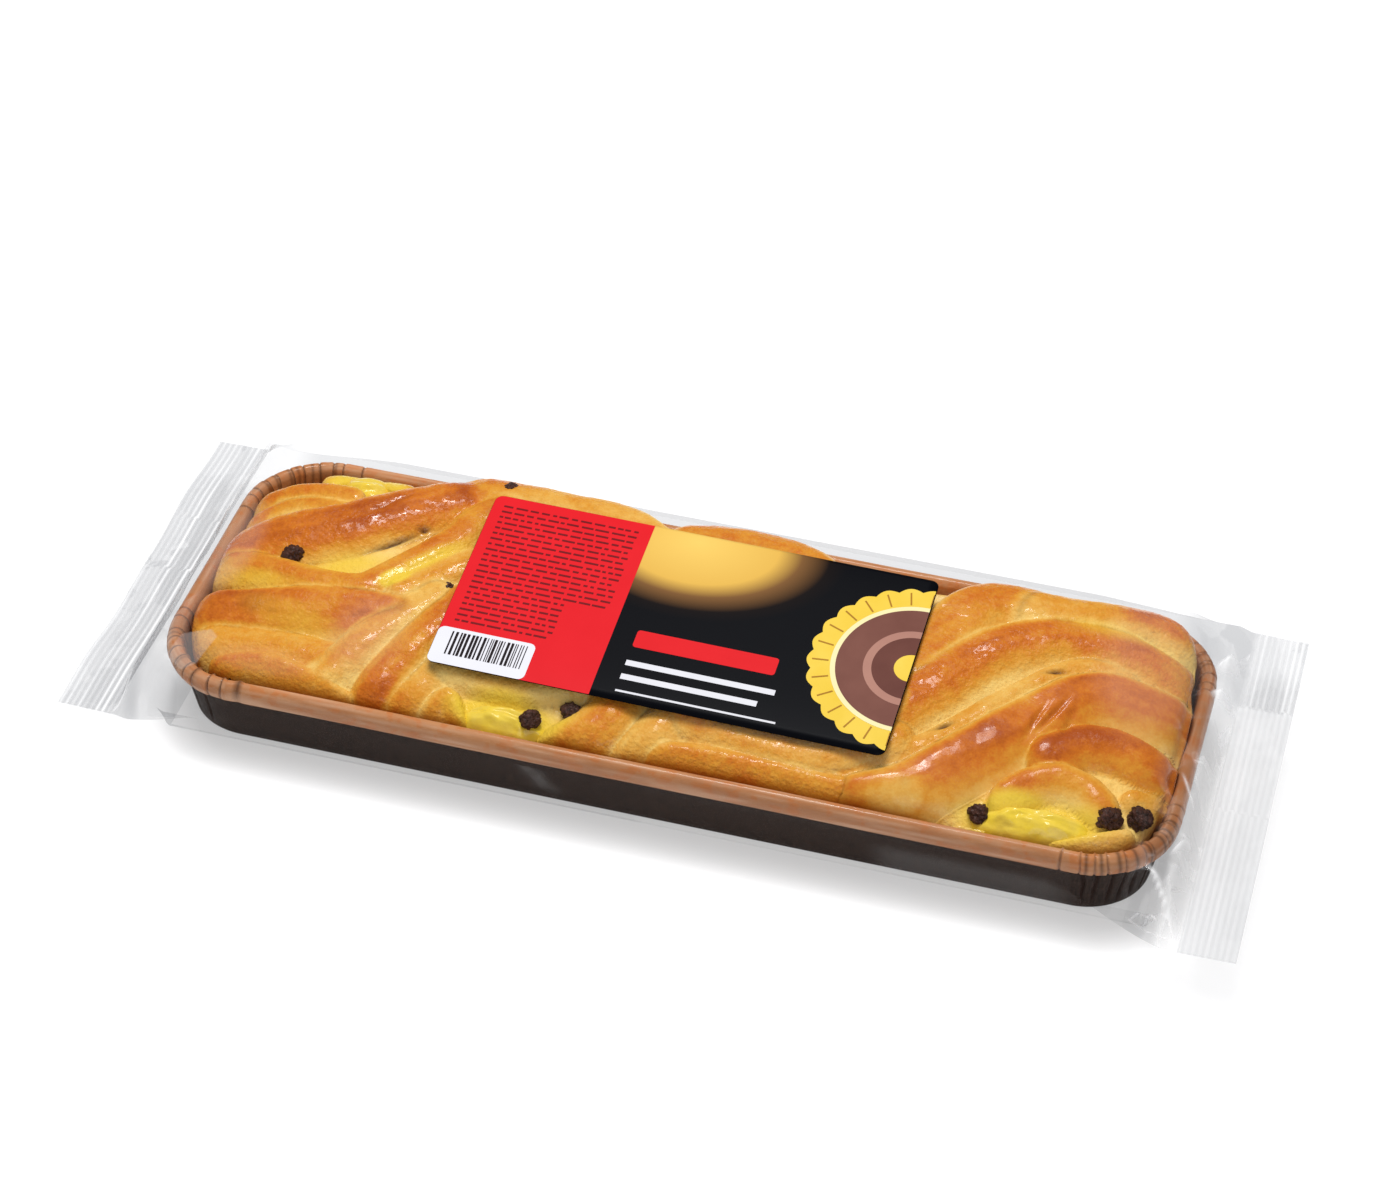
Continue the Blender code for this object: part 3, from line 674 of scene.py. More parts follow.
print(f"crown {LOAF_EDGE_HEIGHT + CROWN_RISE:.1f} mm high, strands from {LOAF_FOOT} mm up")

# %% Heights of the crown and of the film over it
FILM_TOP_EDGE = 26.9
FILM_RISE = 13.0
FILM_LEAN = 0.155
FILM_HALF_WIDTH = 55.6
FILM_HALF_LENGTH = 153.9
UNDER_FILM = 1.1


def crown_height(x, y):
    """Smooth height of the baked loaf without its strands."""
    across = np.clip(1 - (y / CROWN_HALF_WIDTH) ** 4, 0, 1)
    along = np.clip(1 - (x / CROWN_HALF_LENGTH) ** 10, 0, 1)
    return LOAF_EDGE_HEIGHT + (CROWN_RISE + CROWN_LEAN * y) * across * along


def film_height(x, y):
    """Height of the film over the tray's rim and the loaf."""
    across = np.clip(1 - np.abs(y / FILM_HALF_WIDTH) ** 7, 0, 1)
    along = np.clip(1 - np.abs(x / FILM_HALF_LENGTH) ** 12, 0, 1)
    return FILM_TOP_EDGE + (FILM_RISE + FILM_LEAN * y) * across * along


def half_width(x, inset):
    """Half the width of the tray's outline at a given x, moved in by inset."""
    radius = TRAY_CORNER - inset
    past = np.clip(np.abs(x) - (TRAY_LENGTH / 2 - TRAY_CORNER), 0, radius)
    return TRAY_WIDTH / 2 - TRAY_CORNER + np.sqrt(radius ** 2 - past ** 2)


# %% One strand
def smooth_route(points):
    """Even points along a smooth curve through the given ones, by Catmull and Rom's rule."""
    given = np.array(points, float)
    given = np.vstack([2 * given[0] - given[1], given, 2 * given[-1] - given[-2]])
    route = []
    for before, start, end, after in zip(given, given[1:], given[2:], given[3:]):
        count = max(2, int(np.linalg.norm(end - start) / ROUTE_STEP))
        for part in np.arange(count) / count:
            route.append(0.5 * (2 * start + (end - before) * part
                                + (2 * before - 5 * start + 4 * end - after) * part ** 2
                                + (3 * start - before - 3 * end + after) * part ** 3))
    route.append(given[-2])
    return np.array(route)


def strand_at(x, y, lift, back, front, points):
    """One strand at each place: its height, how far down its side it is, and mm along and off its crest."""
    route = smooth_route(points)
    tangent = np.gradient(route, axis=0)
    tangent /= np.linalg.norm(tangent, axis=1, keepdims=True)
    nearest = np.zeros(len(x), int)
    shortest = np.full(len(x), 1e9)
    for index, (route_x, route_y) in enumerate(route):
        distance = np.hypot(x - route_x, y - route_y)
        closer = distance < shortest
        nearest[closer] = index
        shortest[closer] = distance[closer]
    side_x = x - route[nearest, 0]
    side_y = y - route[nearest, 1]
    turned = tangent[nearest, 0] * side_y - tangent[nearest, 1] * side_x
    blend = smooth(turned / np.maximum(shortest, 1e-6), -1.0, 1.0)
    width = front + (back - front) * blend
    power = FRONT_POWER + (BACK_POWER - FRONT_POWER) * blend
    drop = front * FRONT_DROP + (back * BACK_DROP - front * FRONT_DROP) * blend
    across = np.clip(shortest / width, 0, 1)
    round_side = 1 - (1 - across ** power) ** (1 / power)
    fall = drop * round_side + FLANK_SLOPE * np.clip(shortest - width, 0, None)
    return crown_height(x, y) + lift - fall, across, nearest * ROUTE_STEP, np.copysign(shortest, turned)


# %% The whole top
def loaf_top(x, y):
    """For each place: height, browning, depth in a crease, streaks along the strand and smoothness."""
    ground = crown_height(x, y) - GROOVE_FLOOR - BACK_DIP * ramp(y, *BACK_DIP_RAMP)
    empty_corner = ramp(y, *CORNER_RAMP_Y) * ramp(x, *CORNER_RAMP_X)
    ground = ground - (ground - CRUMB_LEVEL) * np.maximum(empty_corner, ramp(x, *LEFT_RAMP))
    heights = [ground]
    browning = [np.full(len(x), 0.05)]
    run = np.zeros(len(x))
    off_crest = np.zeros(len(x))
    smoothness = np.zeros(len(x))
    tallest = ground.copy()
    for number, (name, strand) in enumerate(STRANDS.items()):
        lift, back, front, crest_brown, flank_brown, *points = strand
        height, across, along, off = strand_at(x, y, lift, back, front, points)
        heights.append(height)
        browning.append(crest_brown + (flank_brown - crest_brown) * smooth(across, 0.2, 0.9))
        wins = height > tallest
        tallest[wins] = height[wins]
        run[wins] = along[wins] + 60.0 * number
        off_crest[wins] = off[wins]
        smoothness[wins] = SMOOTHNESS.get(name, 0.0)
    streaks = lumps(run * 0.13, off_crest, 0 * run, 2.1, 31)
    heights = np.array(heights)
    highest = heights.max(axis=0)
    weights = np.exp((heights - highest) / CREASE)
    top = highest + CREASE * np.log(weights.sum(axis=0))
    soft = np.exp((heights - highest) / 0.7)
    brown = (soft * np.array(browning)).sum(axis=0) / soft.sum(axis=0)
    second = np.sort(heights, axis=0)[-2]
    crease = np.exp(-(highest - second) / 1.2)
    brown -= PALE_CREASE * np.exp(-((highest - second) / 1.8) ** 2) * smooth(-off_crest, 0.5, 3.0)
    to_side = half_width(x, LOAF_INSET_TOP) - np.abs(y)
    to_end = TRAY_LENGTH / 2 - LOAF_INSET_TOP - np.abs(x)
    for distance, (reach, drop) in ((to_side, SIDE_SHOULDER), (to_end, END_SHOULDER)):
        near_edge = np.clip(1 - distance / reach, 0, 1)
        top = top - drop * (1 - np.sqrt(1 - near_edge ** 2))
    ceiling = film_height(x, y) - UNDER_FILM
    top = ceiling - CREASE * np.logaddexp(0, (ceiling - top) / CREASE)
    return top, brown, crease, streaks, smoothness


# %% [markdown]
# ## The custard
#
# The cream runs through the loaf and wells up in four places. Its pools are flattened balls, fused
# with the layer inside, so that the cream still reaches down into the loaf from where it shows.
# Where they come up is settled first, because the crust round them is stained.

# %% Places of the custard: x, y, half length, half width, turn and the height of the top
CUSTARD_CORE = (236.0, 84.0, 8.0, 16.0)
CUSTARD_CORNER = 14.0
POOL_FOOT = 11.0
POOLS = {
    "front": (-44, -44.3, 15, 6, 0, 27.4),
    "right": (112.5, -43, 18.5, 6.3, 5, 28.4),
    "corner": (-115, 39, 12, 8.5, -3, 32.0),
    "slit": (-90, -6, 5, 2.6, 38, 33.5),
}
print(len(POOLS), "pools of custard")

# %% [markdown]
# ## The loaf
#
# The fine loaf is one grid bent to that height, with its rim drawn down to a flat foot. Four numbers
# ride along with each point: how brown it is, how much custard has stained it, how much painted shade
# darkens it in a crack or a crease, and how grainy its skin is. The material turns them into colour and
# shine.

# %% Bend the loaf's grid
LOAF_STEP = 0.62
RIGHT_SPARE = 1.9
half_length = TRAY_LENGTH / 2 - LOAF_INSET_TOP
bm, u, v = grid_of(int(2 * half_length / LOAF_STEP), int((TRAY_WIDTH - 2 * LOAF_INSET_TOP) / LOAF_STEP))
spare = RIGHT_SPARE * smooth(u, 0.95, 1.0) * (1 - smooth(v, 0.68, 0.84))
x = (2 * u - 1) * half_length + spare
y = (2 * v - 1) * half_width(x, LOAF_INSET_TOP)
top, brown, crease, streaks, smoothness = loaf_top(x, y)
dents = 0.45 * lumps(x, y, 0 * x, 11.0, 3) + 0.16 * lumps(x, y, 0 * x, 4.5, 4)
fine_dents = 0.11 * (1 - smoothness) * lumps(x, y, 0 * x, 1.7, 33)
top += dents + fine_dents + 0.10 * streaks - 0.25
print(f"top from {top.min():.1f} to {top.max():.1f} mm high")

# %% Uneven baking, with ovals that the oven left paler, or browner where the amount is negative
PALER_OVALS = (
    (-90, 30, 11, 7, 42, 0.14),
    (-72, 43, 18, 12, -5, -0.34),
    (-93, -33, 15, 9, 60, -0.36),
    (-138, -18, 8, 6, 0, -0.14),
    (-91, 5.5, 11, 3.5, 42, -0.20),
    (80, 34, 15, 9, 40, -0.14),
    (134, 38, 13, 10, -5, -0.34),
    (-78, -47, 9, 6, 0, -0.16),
    (74, -41, 18, 8, 25, 0.24),
    (138, -14, 8, 10, 0, 0.12),
)
# Browning streaks along the strands and slow patches of browning; towards the right end the crust is painted
# a little paler, a painted sheen.
brown += 0.10 * streaks + 0.16 * lumps(x, y, 0 * x, 16.0, 5) - 0.05 * smooth(x, 106.0, 128.0)
brown += 0.26 * smooth(y, 41.0, 48.0) * smooth(x, -100.0, -90.0)
for *oval, amount in PALER_OVALS:
    brown -= amount * soft_oval(x, y, oval, 0.2, 1.3)
print(f"browning {brown.min():.2f} to {brown.max():.2f}, {brown.mean():.2f} on average")

# %% Cracks and wrinkles in the crust: x, y, half length, half width, turn and depth
CRACKS = (
    (-96, 9.5, 10.0, 0.7, 38, 1.0),
    (-88.5, 16.2, 2.2, 0.9, 25, 1.2),
    (81, -20, 3.0, 0.9, 35, 1.3),
    (108, 7, 3.2, 0.8, 20, 1.0),
)
WRINKLES = (
    (106, -13, 7.0, 1.0, 74, 0.9),
    (110, -10, 8.0, 0.9, 62, 1.1),
    (115, -12, 7.0, 1.2, 80, 0.8),
    (-103, 19, 5.0, 0.8, 42, 0.5),
    (-98, 24, 5.0, 0.8, 38, 0.4),
    (-96, -22, 4.0, 0.9, 20, 0.4),
)
# Painted shade: the colour is darkened in the creases where two strands meet, fully in each crack and
# faintly in each wrinkle.
crust_shade = 0.30 * smooth(crease, 0.5, 1.0) * smooth(lumps(x, y, 0 * x, 12.0, 6), -0.35, 0.35)
for lines, darkness in ((CRACKS, 1.0), (WRINKLES, 0.15)):
    for *oval, depth in lines:
        near = np.exp(-1.5 * oval_reach(x, y, oval) ** 2)
        top -= depth * near
        crust_shade = np.maximum(crust_shade, darkness * near)
print(len(CRACKS), "cracks,", len(WRINKLES), "wrinkles")

# %% Stains of custard round the pools
STAINS = (
    (-107, -2, 14, 5, 22, 0.8),
    (-132, -14, 12, 3.5, -3, 0.45),
    (-82, 3, 14, 3, 48, 0.8),
    (-118, -26, 16, 5, -10, 0.25),
    (-30, -46, 9, 4, 40, 0.8),
    (124, 27, 20, 3.5, 5, 0.35),
)
stain = np.zeros_like(top)
for *oval, _ in POOLS.values():
    stain = np.maximum(stain, soft_oval(x, y, oval, 0.8, 1.4))
for *oval, amount in STAINS:
    stain = np.maximum(stain, amount * soft_oval(x, y, oval, 0.3, 1.3))
print(f"stained share of the top {np.mean(stain > 0.3):.2f}, dark share {np.mean(crust_shade > 0.3):.2f}")

# %% Close the loaf
mark(bm, "browning", brown)
mark(bm, "stain", stain)
mark(bm, "crust_shade", crust_shade)
mark(bm, "grain", 1.0 - smoothness)
inset = np.interp(top, (LOAF_FOOT, TRAY_HEIGHT), (LOAF_INSET_FOOT, LOAF_INSET_TOP))
x = (2 * u - 1) * (TRAY_LENGTH / 2 - inset) + spare
move_to(bm, x, (2 * v - 1) * half_width(x, inset), top)
rim = [edge for edge in bm.edges if edge.is_boundary]
foot_length = (TRAY_LENGTH / 2 - LOAF_INSET_FOOT) / half_length
foot_width = 1 - 2 * (LOAF_INSET_FOOT - LOAF_INSET_TOP) / TRAY_WIDTH
for item in bmesh.ops.extrude_edge_only(bm, edges=rim)["geom"]:
    if isinstance(item, bmesh.types.BMVert):
        item.co = (item.co.x * foot_length, item.co.y * foot_width, LOAF_FOOT)
bmesh.ops.holes_fill(bm, edges=[edge for edge in bm.edges if edge.is_boundary], sides=0)
bmesh.ops.recalc_face_normals(bm, faces=bm.faces)

# %% [markdown]
# The crust was brushed with egg. Where a strand stands proud it is orange brown and shiny, and down
# its flanks it pales to golden dough. The colour comes from the browning, broken up by three sizes of
# mottling, with painted shade in its cracks, creases and wrinkles. The shine is a coat, which is
# thinner on pale dough and missing in fine flecks. A coat doesn't follow the bumps beneath it, so it
# is the flecks that break its highlights up into grains.

# %% Crust finish
CRUST = (
    (0.00, srgb(226, 191, 110)),
    (0.26, srgb(214, 164, 76)),
    (0.50, srgb(204, 138, 42)),
    (0.75, srgb(190, 103, 24)),
    (1.00, srgb(158, 72, 16)),
)
STAIN = srgb(218, 184, 58)
CRACK_SHADE = srgb(74, 38, 14)
UNEVEN = ((95.0, 1.5, 0.30), (420.0, 1.5, 0.22), (1500.0, 2.0, 0.12))
material, tree, shader = new_finish("egg_washed_crust", 0.5, 0.2, coat_roughness=0.08)
browned = attribute(tree, "browning")
for cells, sharpness, amount in UNEVEN:
    patches = calculate(tree, "SUBTRACT", mottle(tree, cells, sharpness), 0.5)
    browned = calculate(tree, "MULTIPLY_ADD", patches, amount, browned)
crust = colour_ramp(tree, browned, CRUST)
crust = mix_colours(tree, attribute(tree, "stain"), crust, STAIN)
# Painted shade in the cracks, creases and wrinkles, from the mark of painted shade.
crust = mix_colours(tree, attribute(tree, "crust_shade"), crust, CRACK_SHADE)
tree.links.new(crust, shader.inputs["Base Color"])

# %% The egg wash, which shines most where the crust is brown
washed = calculate(tree, "MULTIPLY_ADD", attribute(tree, "browning"), 0.8, 0.2)
patchy = calculate(tree, "MULTIPLY_ADD", mottle(tree, 180.0, 3.0), 0.7, 0.3)
gloss = calculate(tree, "MULTIPLY", washed, patchy, clamp=True)
less_on_smooth = calculate(tree, "MULTIPLY_ADD", attribute(tree, "grain"), 0.25, 0.75)
gloss = calculate(tree, "MULTIPLY", gloss, less_on_smooth)
tree.links.new(calculate(tree, "MULTIPLY_ADD", gloss, -0.38, 0.56), shader.inputs["Roughness"])
gaps = calculate(tree, "SUBTRACT", 1.0, mottle(tree, 900.0, 8.0))
gaps = calculate(tree, "MULTIPLY", gaps, attribute(tree, "grain"))
flecks = calculate(tree, "SUBTRACT", 1.0, gaps)
coat = calculate(tree, "MULTIPLY", gloss, 1.1)
tree.links.new(calculate(tree, "MULTIPLY", coat, flecks, clamp=True), shader.inputs["Coat Weight"])
skin_bump(tree, 850.0, 1.0, 0.45, attribute(tree, "grain"))
finish_piece("braided_loaf", bm, material, "loaf")

# %% [markdown]
# Now the cream itself. Flowing noise, stretched along the loaf, gives each pool its thick ripples. In
# the back corner the cream has set under the heat, so it is calmer there.

# %% Fuse the custard's layer and pools
length, width, low, high = CUSTARD_CORE
bm = bmesh.new()
size = Matrix.Diagonal((length, width, high - low, 1))
bmesh.ops.create_cube(bm, size=1, matrix=Matrix.Translation((0, 0, (high + low) / 2)) @ size)
upright = [edge for edge in bm.edges if edge.verts[0].co.xy == edge.verts[1].co.xy]
bmesh.ops.bevel(bm, geom=upright, offset=CUSTARD_CORNER, offset_type="OFFSET", segments=6,
                profile=0.5, affect="EDGES", material=-1)
for name, (pool_x, pool_y, half_long, half_wide, turn, pool_top) in POOLS.items():
    calm = 0.45 if name == "corner" else 1.0
    half_tall = (pool_top - POOL_FOOT) / 2
    centre = Matrix.Translation((pool_x, pool_y, POOL_FOOT + half_tall))
    turned = Matrix.Rotation(math.radians(turn), 4, "Z")
    size = Matrix.Diagonal((half_long, half_wide, half_tall, 1))
    placed = centre @ turned @ size
    ball = bmesh.ops.create_uvsphere(bm, u_segments=96, v_segments=64, radius=1, matrix=placed)
    for vert in ball["verts"]:
        level = max(0.0, (vert.co.z - POOL_FOOT - half_tall) / half_tall)
        flow = noise.noise(Vector((vert.co.x * 0.10, vert.co.y * 0.42, 0.0)))
        ripple = noise.noise(Vector((vert.co.x * 0.28, vert.co.y * 0.70, 5.0)))
        ragged = noise.noise_vector(Vector((vert.co.x * 0.22, vert.co.y * 0.22, 9.0)))
        vert.co += Vector((1.8 * ragged.x, 1.0 * ragged.y, 1.3 * flow + 0.6 * ripple)) * level * calm
print(len(bm.verts), "points in the custard")

# %% The cream that stands up in the corner is baked along its edge
x, y, z = np.array([vert.co for vert in bm.verts]).T
reach = oval_reach(x, y, POOLS["corner"][:5])
baked_edge = smooth(reach, 0.35, 0.7) * (reach < 1.4)
baked = 0.65 * baked_edge * smooth(lumps(x, y, 0 * x, 9.0, 9), -0.8, 0.0)
mark(bm, "baked", baked)
print(f"baked share of the custard {np.mean(baked > 0.3):.2f}")

# %% Custard finish
CREAM = srgb(226, 194, 42)
CREAM_PALE = srgb(218, 190, 82)
CREAM_BAKED = srgb(206, 140, 50)
material, tree, shader = new_finish("custard_cream", 0.4, 0.2, coat=0.6, coat_roughness=0.08)
cream = mix_colours(tree, mottle(tree, 160.0, 2.0), CREAM, CREAM_PALE)
cream = mix_colours(tree, attribute(tree, "baked"), cream, CREAM_BAKED)
tree.links.new(cream, shader.inputs["Base Color"])
skin_bump(tree, 500.0, 2.5, 0.2)
finish_piece("custard_filling", bm, material, "custard")

# %% [markdown]
# ## The chocolate drops
#
# Drops that lay on top have melted and set again, so they look crumbly, like a dark raisin. Each is a
# round ball pushed in and out by cells of noise, large ones for its dents and small ones for crumbs.

# %% Chocolate finish
CHOCOLATE_DARK = srgb(40, 22, 16)
CHOCOLATE_LIGHT = srgb(80, 48, 38)
chocolate, tree, shader = new_finish("chocolate", 0.5, 0.25, coat=0.15, coat_roughness=0.2)
dark_brown = mix_colours(tree, mottle(tree, 900.0, 2.5), CHOCOLATE_DARK, CHOCOLATE_LIGHT)
tree.links.new(dark_brown, shader.inputs["Base Color"])
skin_bump(tree, 2200.0, 2.0, 0.25)

# %% The drops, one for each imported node
DROPS = 8
for number in range(1, DROPS + 1):
    node = f"choc_drop_{number:02d}"
    drop_low, drop_high = box_in_mm(node)
    middle = (drop_low + drop_high) / 2
    radius = (drop_high - drop_low) / 2
    bm = bmesh.new()
    bmesh.ops.create_icosphere(bm, subdivisions=5, radius=1)
    for vert in bm.verts:
        bulge = noise.noise(vert.co * 1.1 + middle)
        wrinkle = abs(noise.noise(vert.co * 2.4 + middle))
        fold = abs(noise.noise(vert.co * 5.5 + middle))
        reach = min(1.0, 0.76 + 0.34 * bulge + 0.30 * wrinkle + 0.16 * fold)
        vert.co = middle + Vector([part * size for part, size in zip(vert.co * reach, radius)])
    finish_piece(f"drop_{number:02d}", bm, chocolate, node)

# %% [markdown]
# ## The film bag
#
# The real bag is a tube of clear film, drawn round the tray, folded out behind it and crimped flat at
# both ends. It is so thin that it needs no thickness here: one sheet runs over the top and one
# beneath, and they meet in the folds and in the crimped seals. The sheet beneath is left out under
# the tray's base, as in the imported model.
#
# Three numbers ride along with each point: how milky the film is, with its painted highlights,
# how clear, and how much it shines.
# Most of the grid's columns are spent on the two ends, where all the creases are.

# %% Lines of the bag
FRONT_FOLD = (-57.2, 20.5)
BACK_FOLD = (66.0, 20.0)
FRONT_FOLD_DROP = 8.0
BACK_FOLD_DROP = 4.0
SEAL_HEIGHT = 14.0
SEAL_INNER = 159.5
LEFT_SEAL = (-64.0, 67.0)
RIGHT_SEAL = (-71.0, 69.0)
SPREAD_START = 120.0
FOOT_CLEARANCE = 1.5
RIB_STEP = 1.9
RIB_DEPTH = 0.18
END_START = 126.0
FILM_COLUMNS = 380
foot_y = TRAY_WIDTH / 2 - BASE_INSET + FOOT_CLEARANCE
foot_x = TRAY_LENGTH / 2 - BASE_INSET + FOOT_CLEARANCE
print(f"the film leaves {2 * foot_x:.1f} x {2 * foot_y:.1f} mm open under the base")


def film_columns(u):
    """Places along the bag, close together over its ends."""
    return np.interp(u, (0, 0.40, 0.60, 1), (-SEAL_OUTER, -END_START, END_START, SEAL_OUTER))


def fold_lines(x):
    """Places of the front and the back fold, which spread towards the seals."""
    spread = ramp(np.abs(x), SPREAD_START, SEAL_INNER)
    seal_front = np.where(x < 0, LEFT_SEAL[0], RIGHT_SEAL[0])
    seal_back = np.where(x < 0, LEFT_SEAL[1], RIGHT_SEAL[1])
    return between(FRONT_FOLD[0], seal_front, spread), between(BACK_FOLD[0], seal_back, spread)


def fold_height(x, fold, drop):
    """Height of a fold, which sinks towards the seals."""
    return fold[1] - drop * smooth(np.abs(x), SPREAD_START - 10.0, FILM_HALF_LENGTH)


# %% Ribs of the crimped seals
RIB_BREAKS = ((-1, 27.0), (-1, 3.0), (1, 34.0), (1, -12.0))


def seal_ribs(x, y):
    """Ribs from 0 to 1 across each seal, shifted where the crimping jaws overlapped."""
    shift = np.zeros_like(x)
    for index, (side, break_y) in enumerate(RIB_BREAKS):
        edge = break_y + 0.6 * np.sin(x * 1.7 + index)
        shift += np.where(x * side > 0, (1.7 + index) * smooth(y, edge, edge + 1.0), 0)
    strength = np.clip(0.65 + 0.7 * lumps(x, y * 0.04, 0 * x, 3.0, 21), 0.3, 1.0)
    return strength * (0.5 + 0.5 * np.sin((np.abs(x) - SEAL_INNER) / RIB_STEP * 2 * math.pi + shift))


def seal_shape(x, y):
    """Height of the ribs and the slow wave of the loose edges."""
    in_seal = smooth(np.abs(x), SEAL_INNER, SEAL_INNER + 1.0)
    wave = 0.9 * np.sin(y / 15.0 + np.sign(x)) + 0.5 * np.sin(y / 6.3 + 2.0)
    return in_seal * RIB_DEPTH * seal_ribs(x, y) + wave * ramp(np.abs(x), SEAL_INNER - 6.0, SEAL_OUTER)


# %% Creases at the two ends: from x, y to x, y, then height, width and gleam
TOP_CREASES = (
    (160, 60, 157, 47, 0.8, 0.8, 0.55), (157, 47, 152, 31, 1.2, 1.5, 0.85),
    (159, 32, 152, 20, 1.0, 1.6, 0.80), (159, 24, 157, 10, 0.8, 0.9, 0.90),
    (156, 5, 160, 4, 0.6, 0.7, 0.60), (152, -9, 159, -4, 0.6, 0.9, 0.45),
    (150, -16, 156, -27, 0.8, 0.8, 0.45), (157, -34, 152, -48, 1.0, 1.2, 0.50),
    (146, -52, 158, -66, 0.7, 0.9, 0.60), (-160, 65, -154, 60, 1.0, 1.8, 0.90),
    (-157, 55, -159, 26, 0.8, 0.8, 0.45), (-155, 26, -159, 13, 1.0, 1.5, 0.85),
    (-159, 13, -158, -9, 1.0, 1.3, 0.70), (-154, 40, -156, 28, 0.6, 0.8, 0.40),
    (-155, -12, -157, -26, 0.6, 0.8, 0.45), (-159, -64, -154, -55, 0.7, 0.8, 0.60),
    (-141, -57, -137, -50, 0.6, 0.7, 0.40),
)
LOWER_CREASES = (
    (146, -47, 152, -57, 0.5, 0.5, 0.75), (148, -45, 156, -59, 0.5, 0.5, 0.70),
    (155, -58, 158, -67, 0.5, 0.4, 0.75), (143, -50, 151, -56, 0.5, 0.4, 0.70),
    (142, -57, 150, -63, 0.5, 0.4, 0.45), (149, -62, 158, -67, 0.5, 0.4, 0.60),
    (152, -38, 158, -47, 0.5, 0.5, 0.45), (-136, -57, -150, -60, 0.5, 0.6, 0.50),
    (-138, -48, -136, -56, 0.5, 0.7, 0.50),
)
print(len(TOP_CREASES) + len(LOWER_CREASES), "creases")


def creased(x, y, creases):
    """Height and gleam of a list of straight creases."""
    height = np.zeros_like(x)
    gleam = np.zeros_like(x)
    bend = 0.25 * lumps(x, y, 0 * x, 9.0, 22)
    for from_x, from_y, to_x, to_y, tall, wide, shine in creases:
        run_x, run_y = to_x - from_x, to_y - from_y
        length = math.hypot(run_x, run_y)
        along = ((x - from_x) * run_x + (y - from_y) * run_y) / length ** 2
        across = ((x - from_x) * run_y - (y - from_y) * run_x) / length + bend
        fade = smooth(along, -0.10, 0.25) * (1 - smooth(along, 0.70, 1.08))
        height += tall * fade * np.exp(-np.abs(across) / wide)
        sharp_side = np.where(across > 0, 0.4 * wide, 1.0 * wide)
        gleam = np.maximum(gleam, shine * fade * np.exp(-(across / sharp_side) ** 2))
    return height, gleam


# %% A folded flap, facets of crumpled film, and what the finish reads
FACET_SIZE = (8.0, 15.0)
LEAST_CLEAR = 0.19


def inside(x, y, corners, soft):
    """1 within a convex outline, given clockwise as seen from above, and 0 outside it."""
    depth = np.full(len(x), 1e9)
    for (from_x, from_y), (to_x, to_y) in zip(corners, corners[1:] + corners[:1]):
        run_x, run_y = to_x - from_x, to_y - from_y
        past_line = ((x - from_x) * run_y - (y - from_y) * run_x) / math.hypot(run_x, run_y)
        depth = np.minimum(depth, past_line)
    return smooth(depth, 0.0, soft)


def facets(x, y):
    """Painted highlight and shade for each facet of the crumpled film, as a tone from about -1 to 1, and its
    edges.
    """
    facet_shading = np.zeros_like(x)
    edge = np.zeros_like(x)
    for index in np.nonzero(np.abs(x) > END_START)[0]:
        place = Vector((x[index] / FACET_SIZE[0], y[index] / FACET_SIZE[1], 0.0))
        place += 0.25 * noise.noise_vector(Vector((x[index] / 5.0, y[index] / 5.0, 3.0)))
        distances, centres = noise.voronoi(place)
        facet_shading[index] = 2.5 * noise.noise(centres[0] * 3.3)
        edge[index] = math.exp(-(distances[1] - distances[0]) / 0.05)
    return facet_shading, edge


def mark_film(bm, x, y, milky_and_gleam, clear, behind=0.0):
    """Keep the film's milkiness with its painted gleams, how clear it is and how shiny. It shines less at
    the back and at the left end.
    """
    mark(bm, "milky_and_gleam", milky_and_gleam)
    mark(bm, "clear", between(LEAST_CLEAR, 1.0, clear) * (1 - 0.7 * behind))
    mark(bm, "shine", (1.05 - clear) * (1 - smooth(y, 46.0, 50.0)) * np.where(x < 0, 0.5, 1.0))


# %% Shape of the top sheet, flat over the tray and folded in at its front and back
TOP_ROWS = 236
FRONT_SHELF = 0.04
BACK_SHELF = 0.064
SEAL_GAP = 0.3
bm, u, v = grid_of(FILM_COLUMNS, TOP_ROWS)
x = film_columns(u)
front, back = fold_lines(x)
press = smooth(np.abs(x), FILM_HALF_LENGTH, SEAL_INNER)
front_part = 1 - ramp(v, 0, FRONT_SHELF)
back_part = ramp(v, 1 - BACK_SHELF, 1)
y = np.interp(v, (0, FRONT_SHELF, 1 - BACK_SHELF, 1), (-1, -1, 1, 1)) * FILM_HALF_WIDTH
z = between(film_height(x, y), fold_height(x, FRONT_FOLD, FRONT_FOLD_DROP), front_part)
z = between(z, fold_height(x, BACK_FOLD, BACK_FOLD_DROP), back_part)
y = between(between(y, front, front_part), back, back_part)
y = between(y, between(front, back, v), press)
z = between(z, SEAL_HEIGHT + SEAL_GAP, press)
height, gleam = creased(x, y, TOP_CREASES)
in_seal = smooth(np.abs(x), SEAL_INNER - 0.4, SEAL_INNER + 0.8)
over_end = smooth(np.abs(x), 140.0, 152.0) * (1 - in_seal)
z = z + seal_shape(x, y) + height * over_end + 0.12 * lumps(x, y, 0 * x, 14.0, 12) * (1 - press)
move_to(bm, x, y, z)
print(f"top sheet up to {z.max():.1f} mm high")

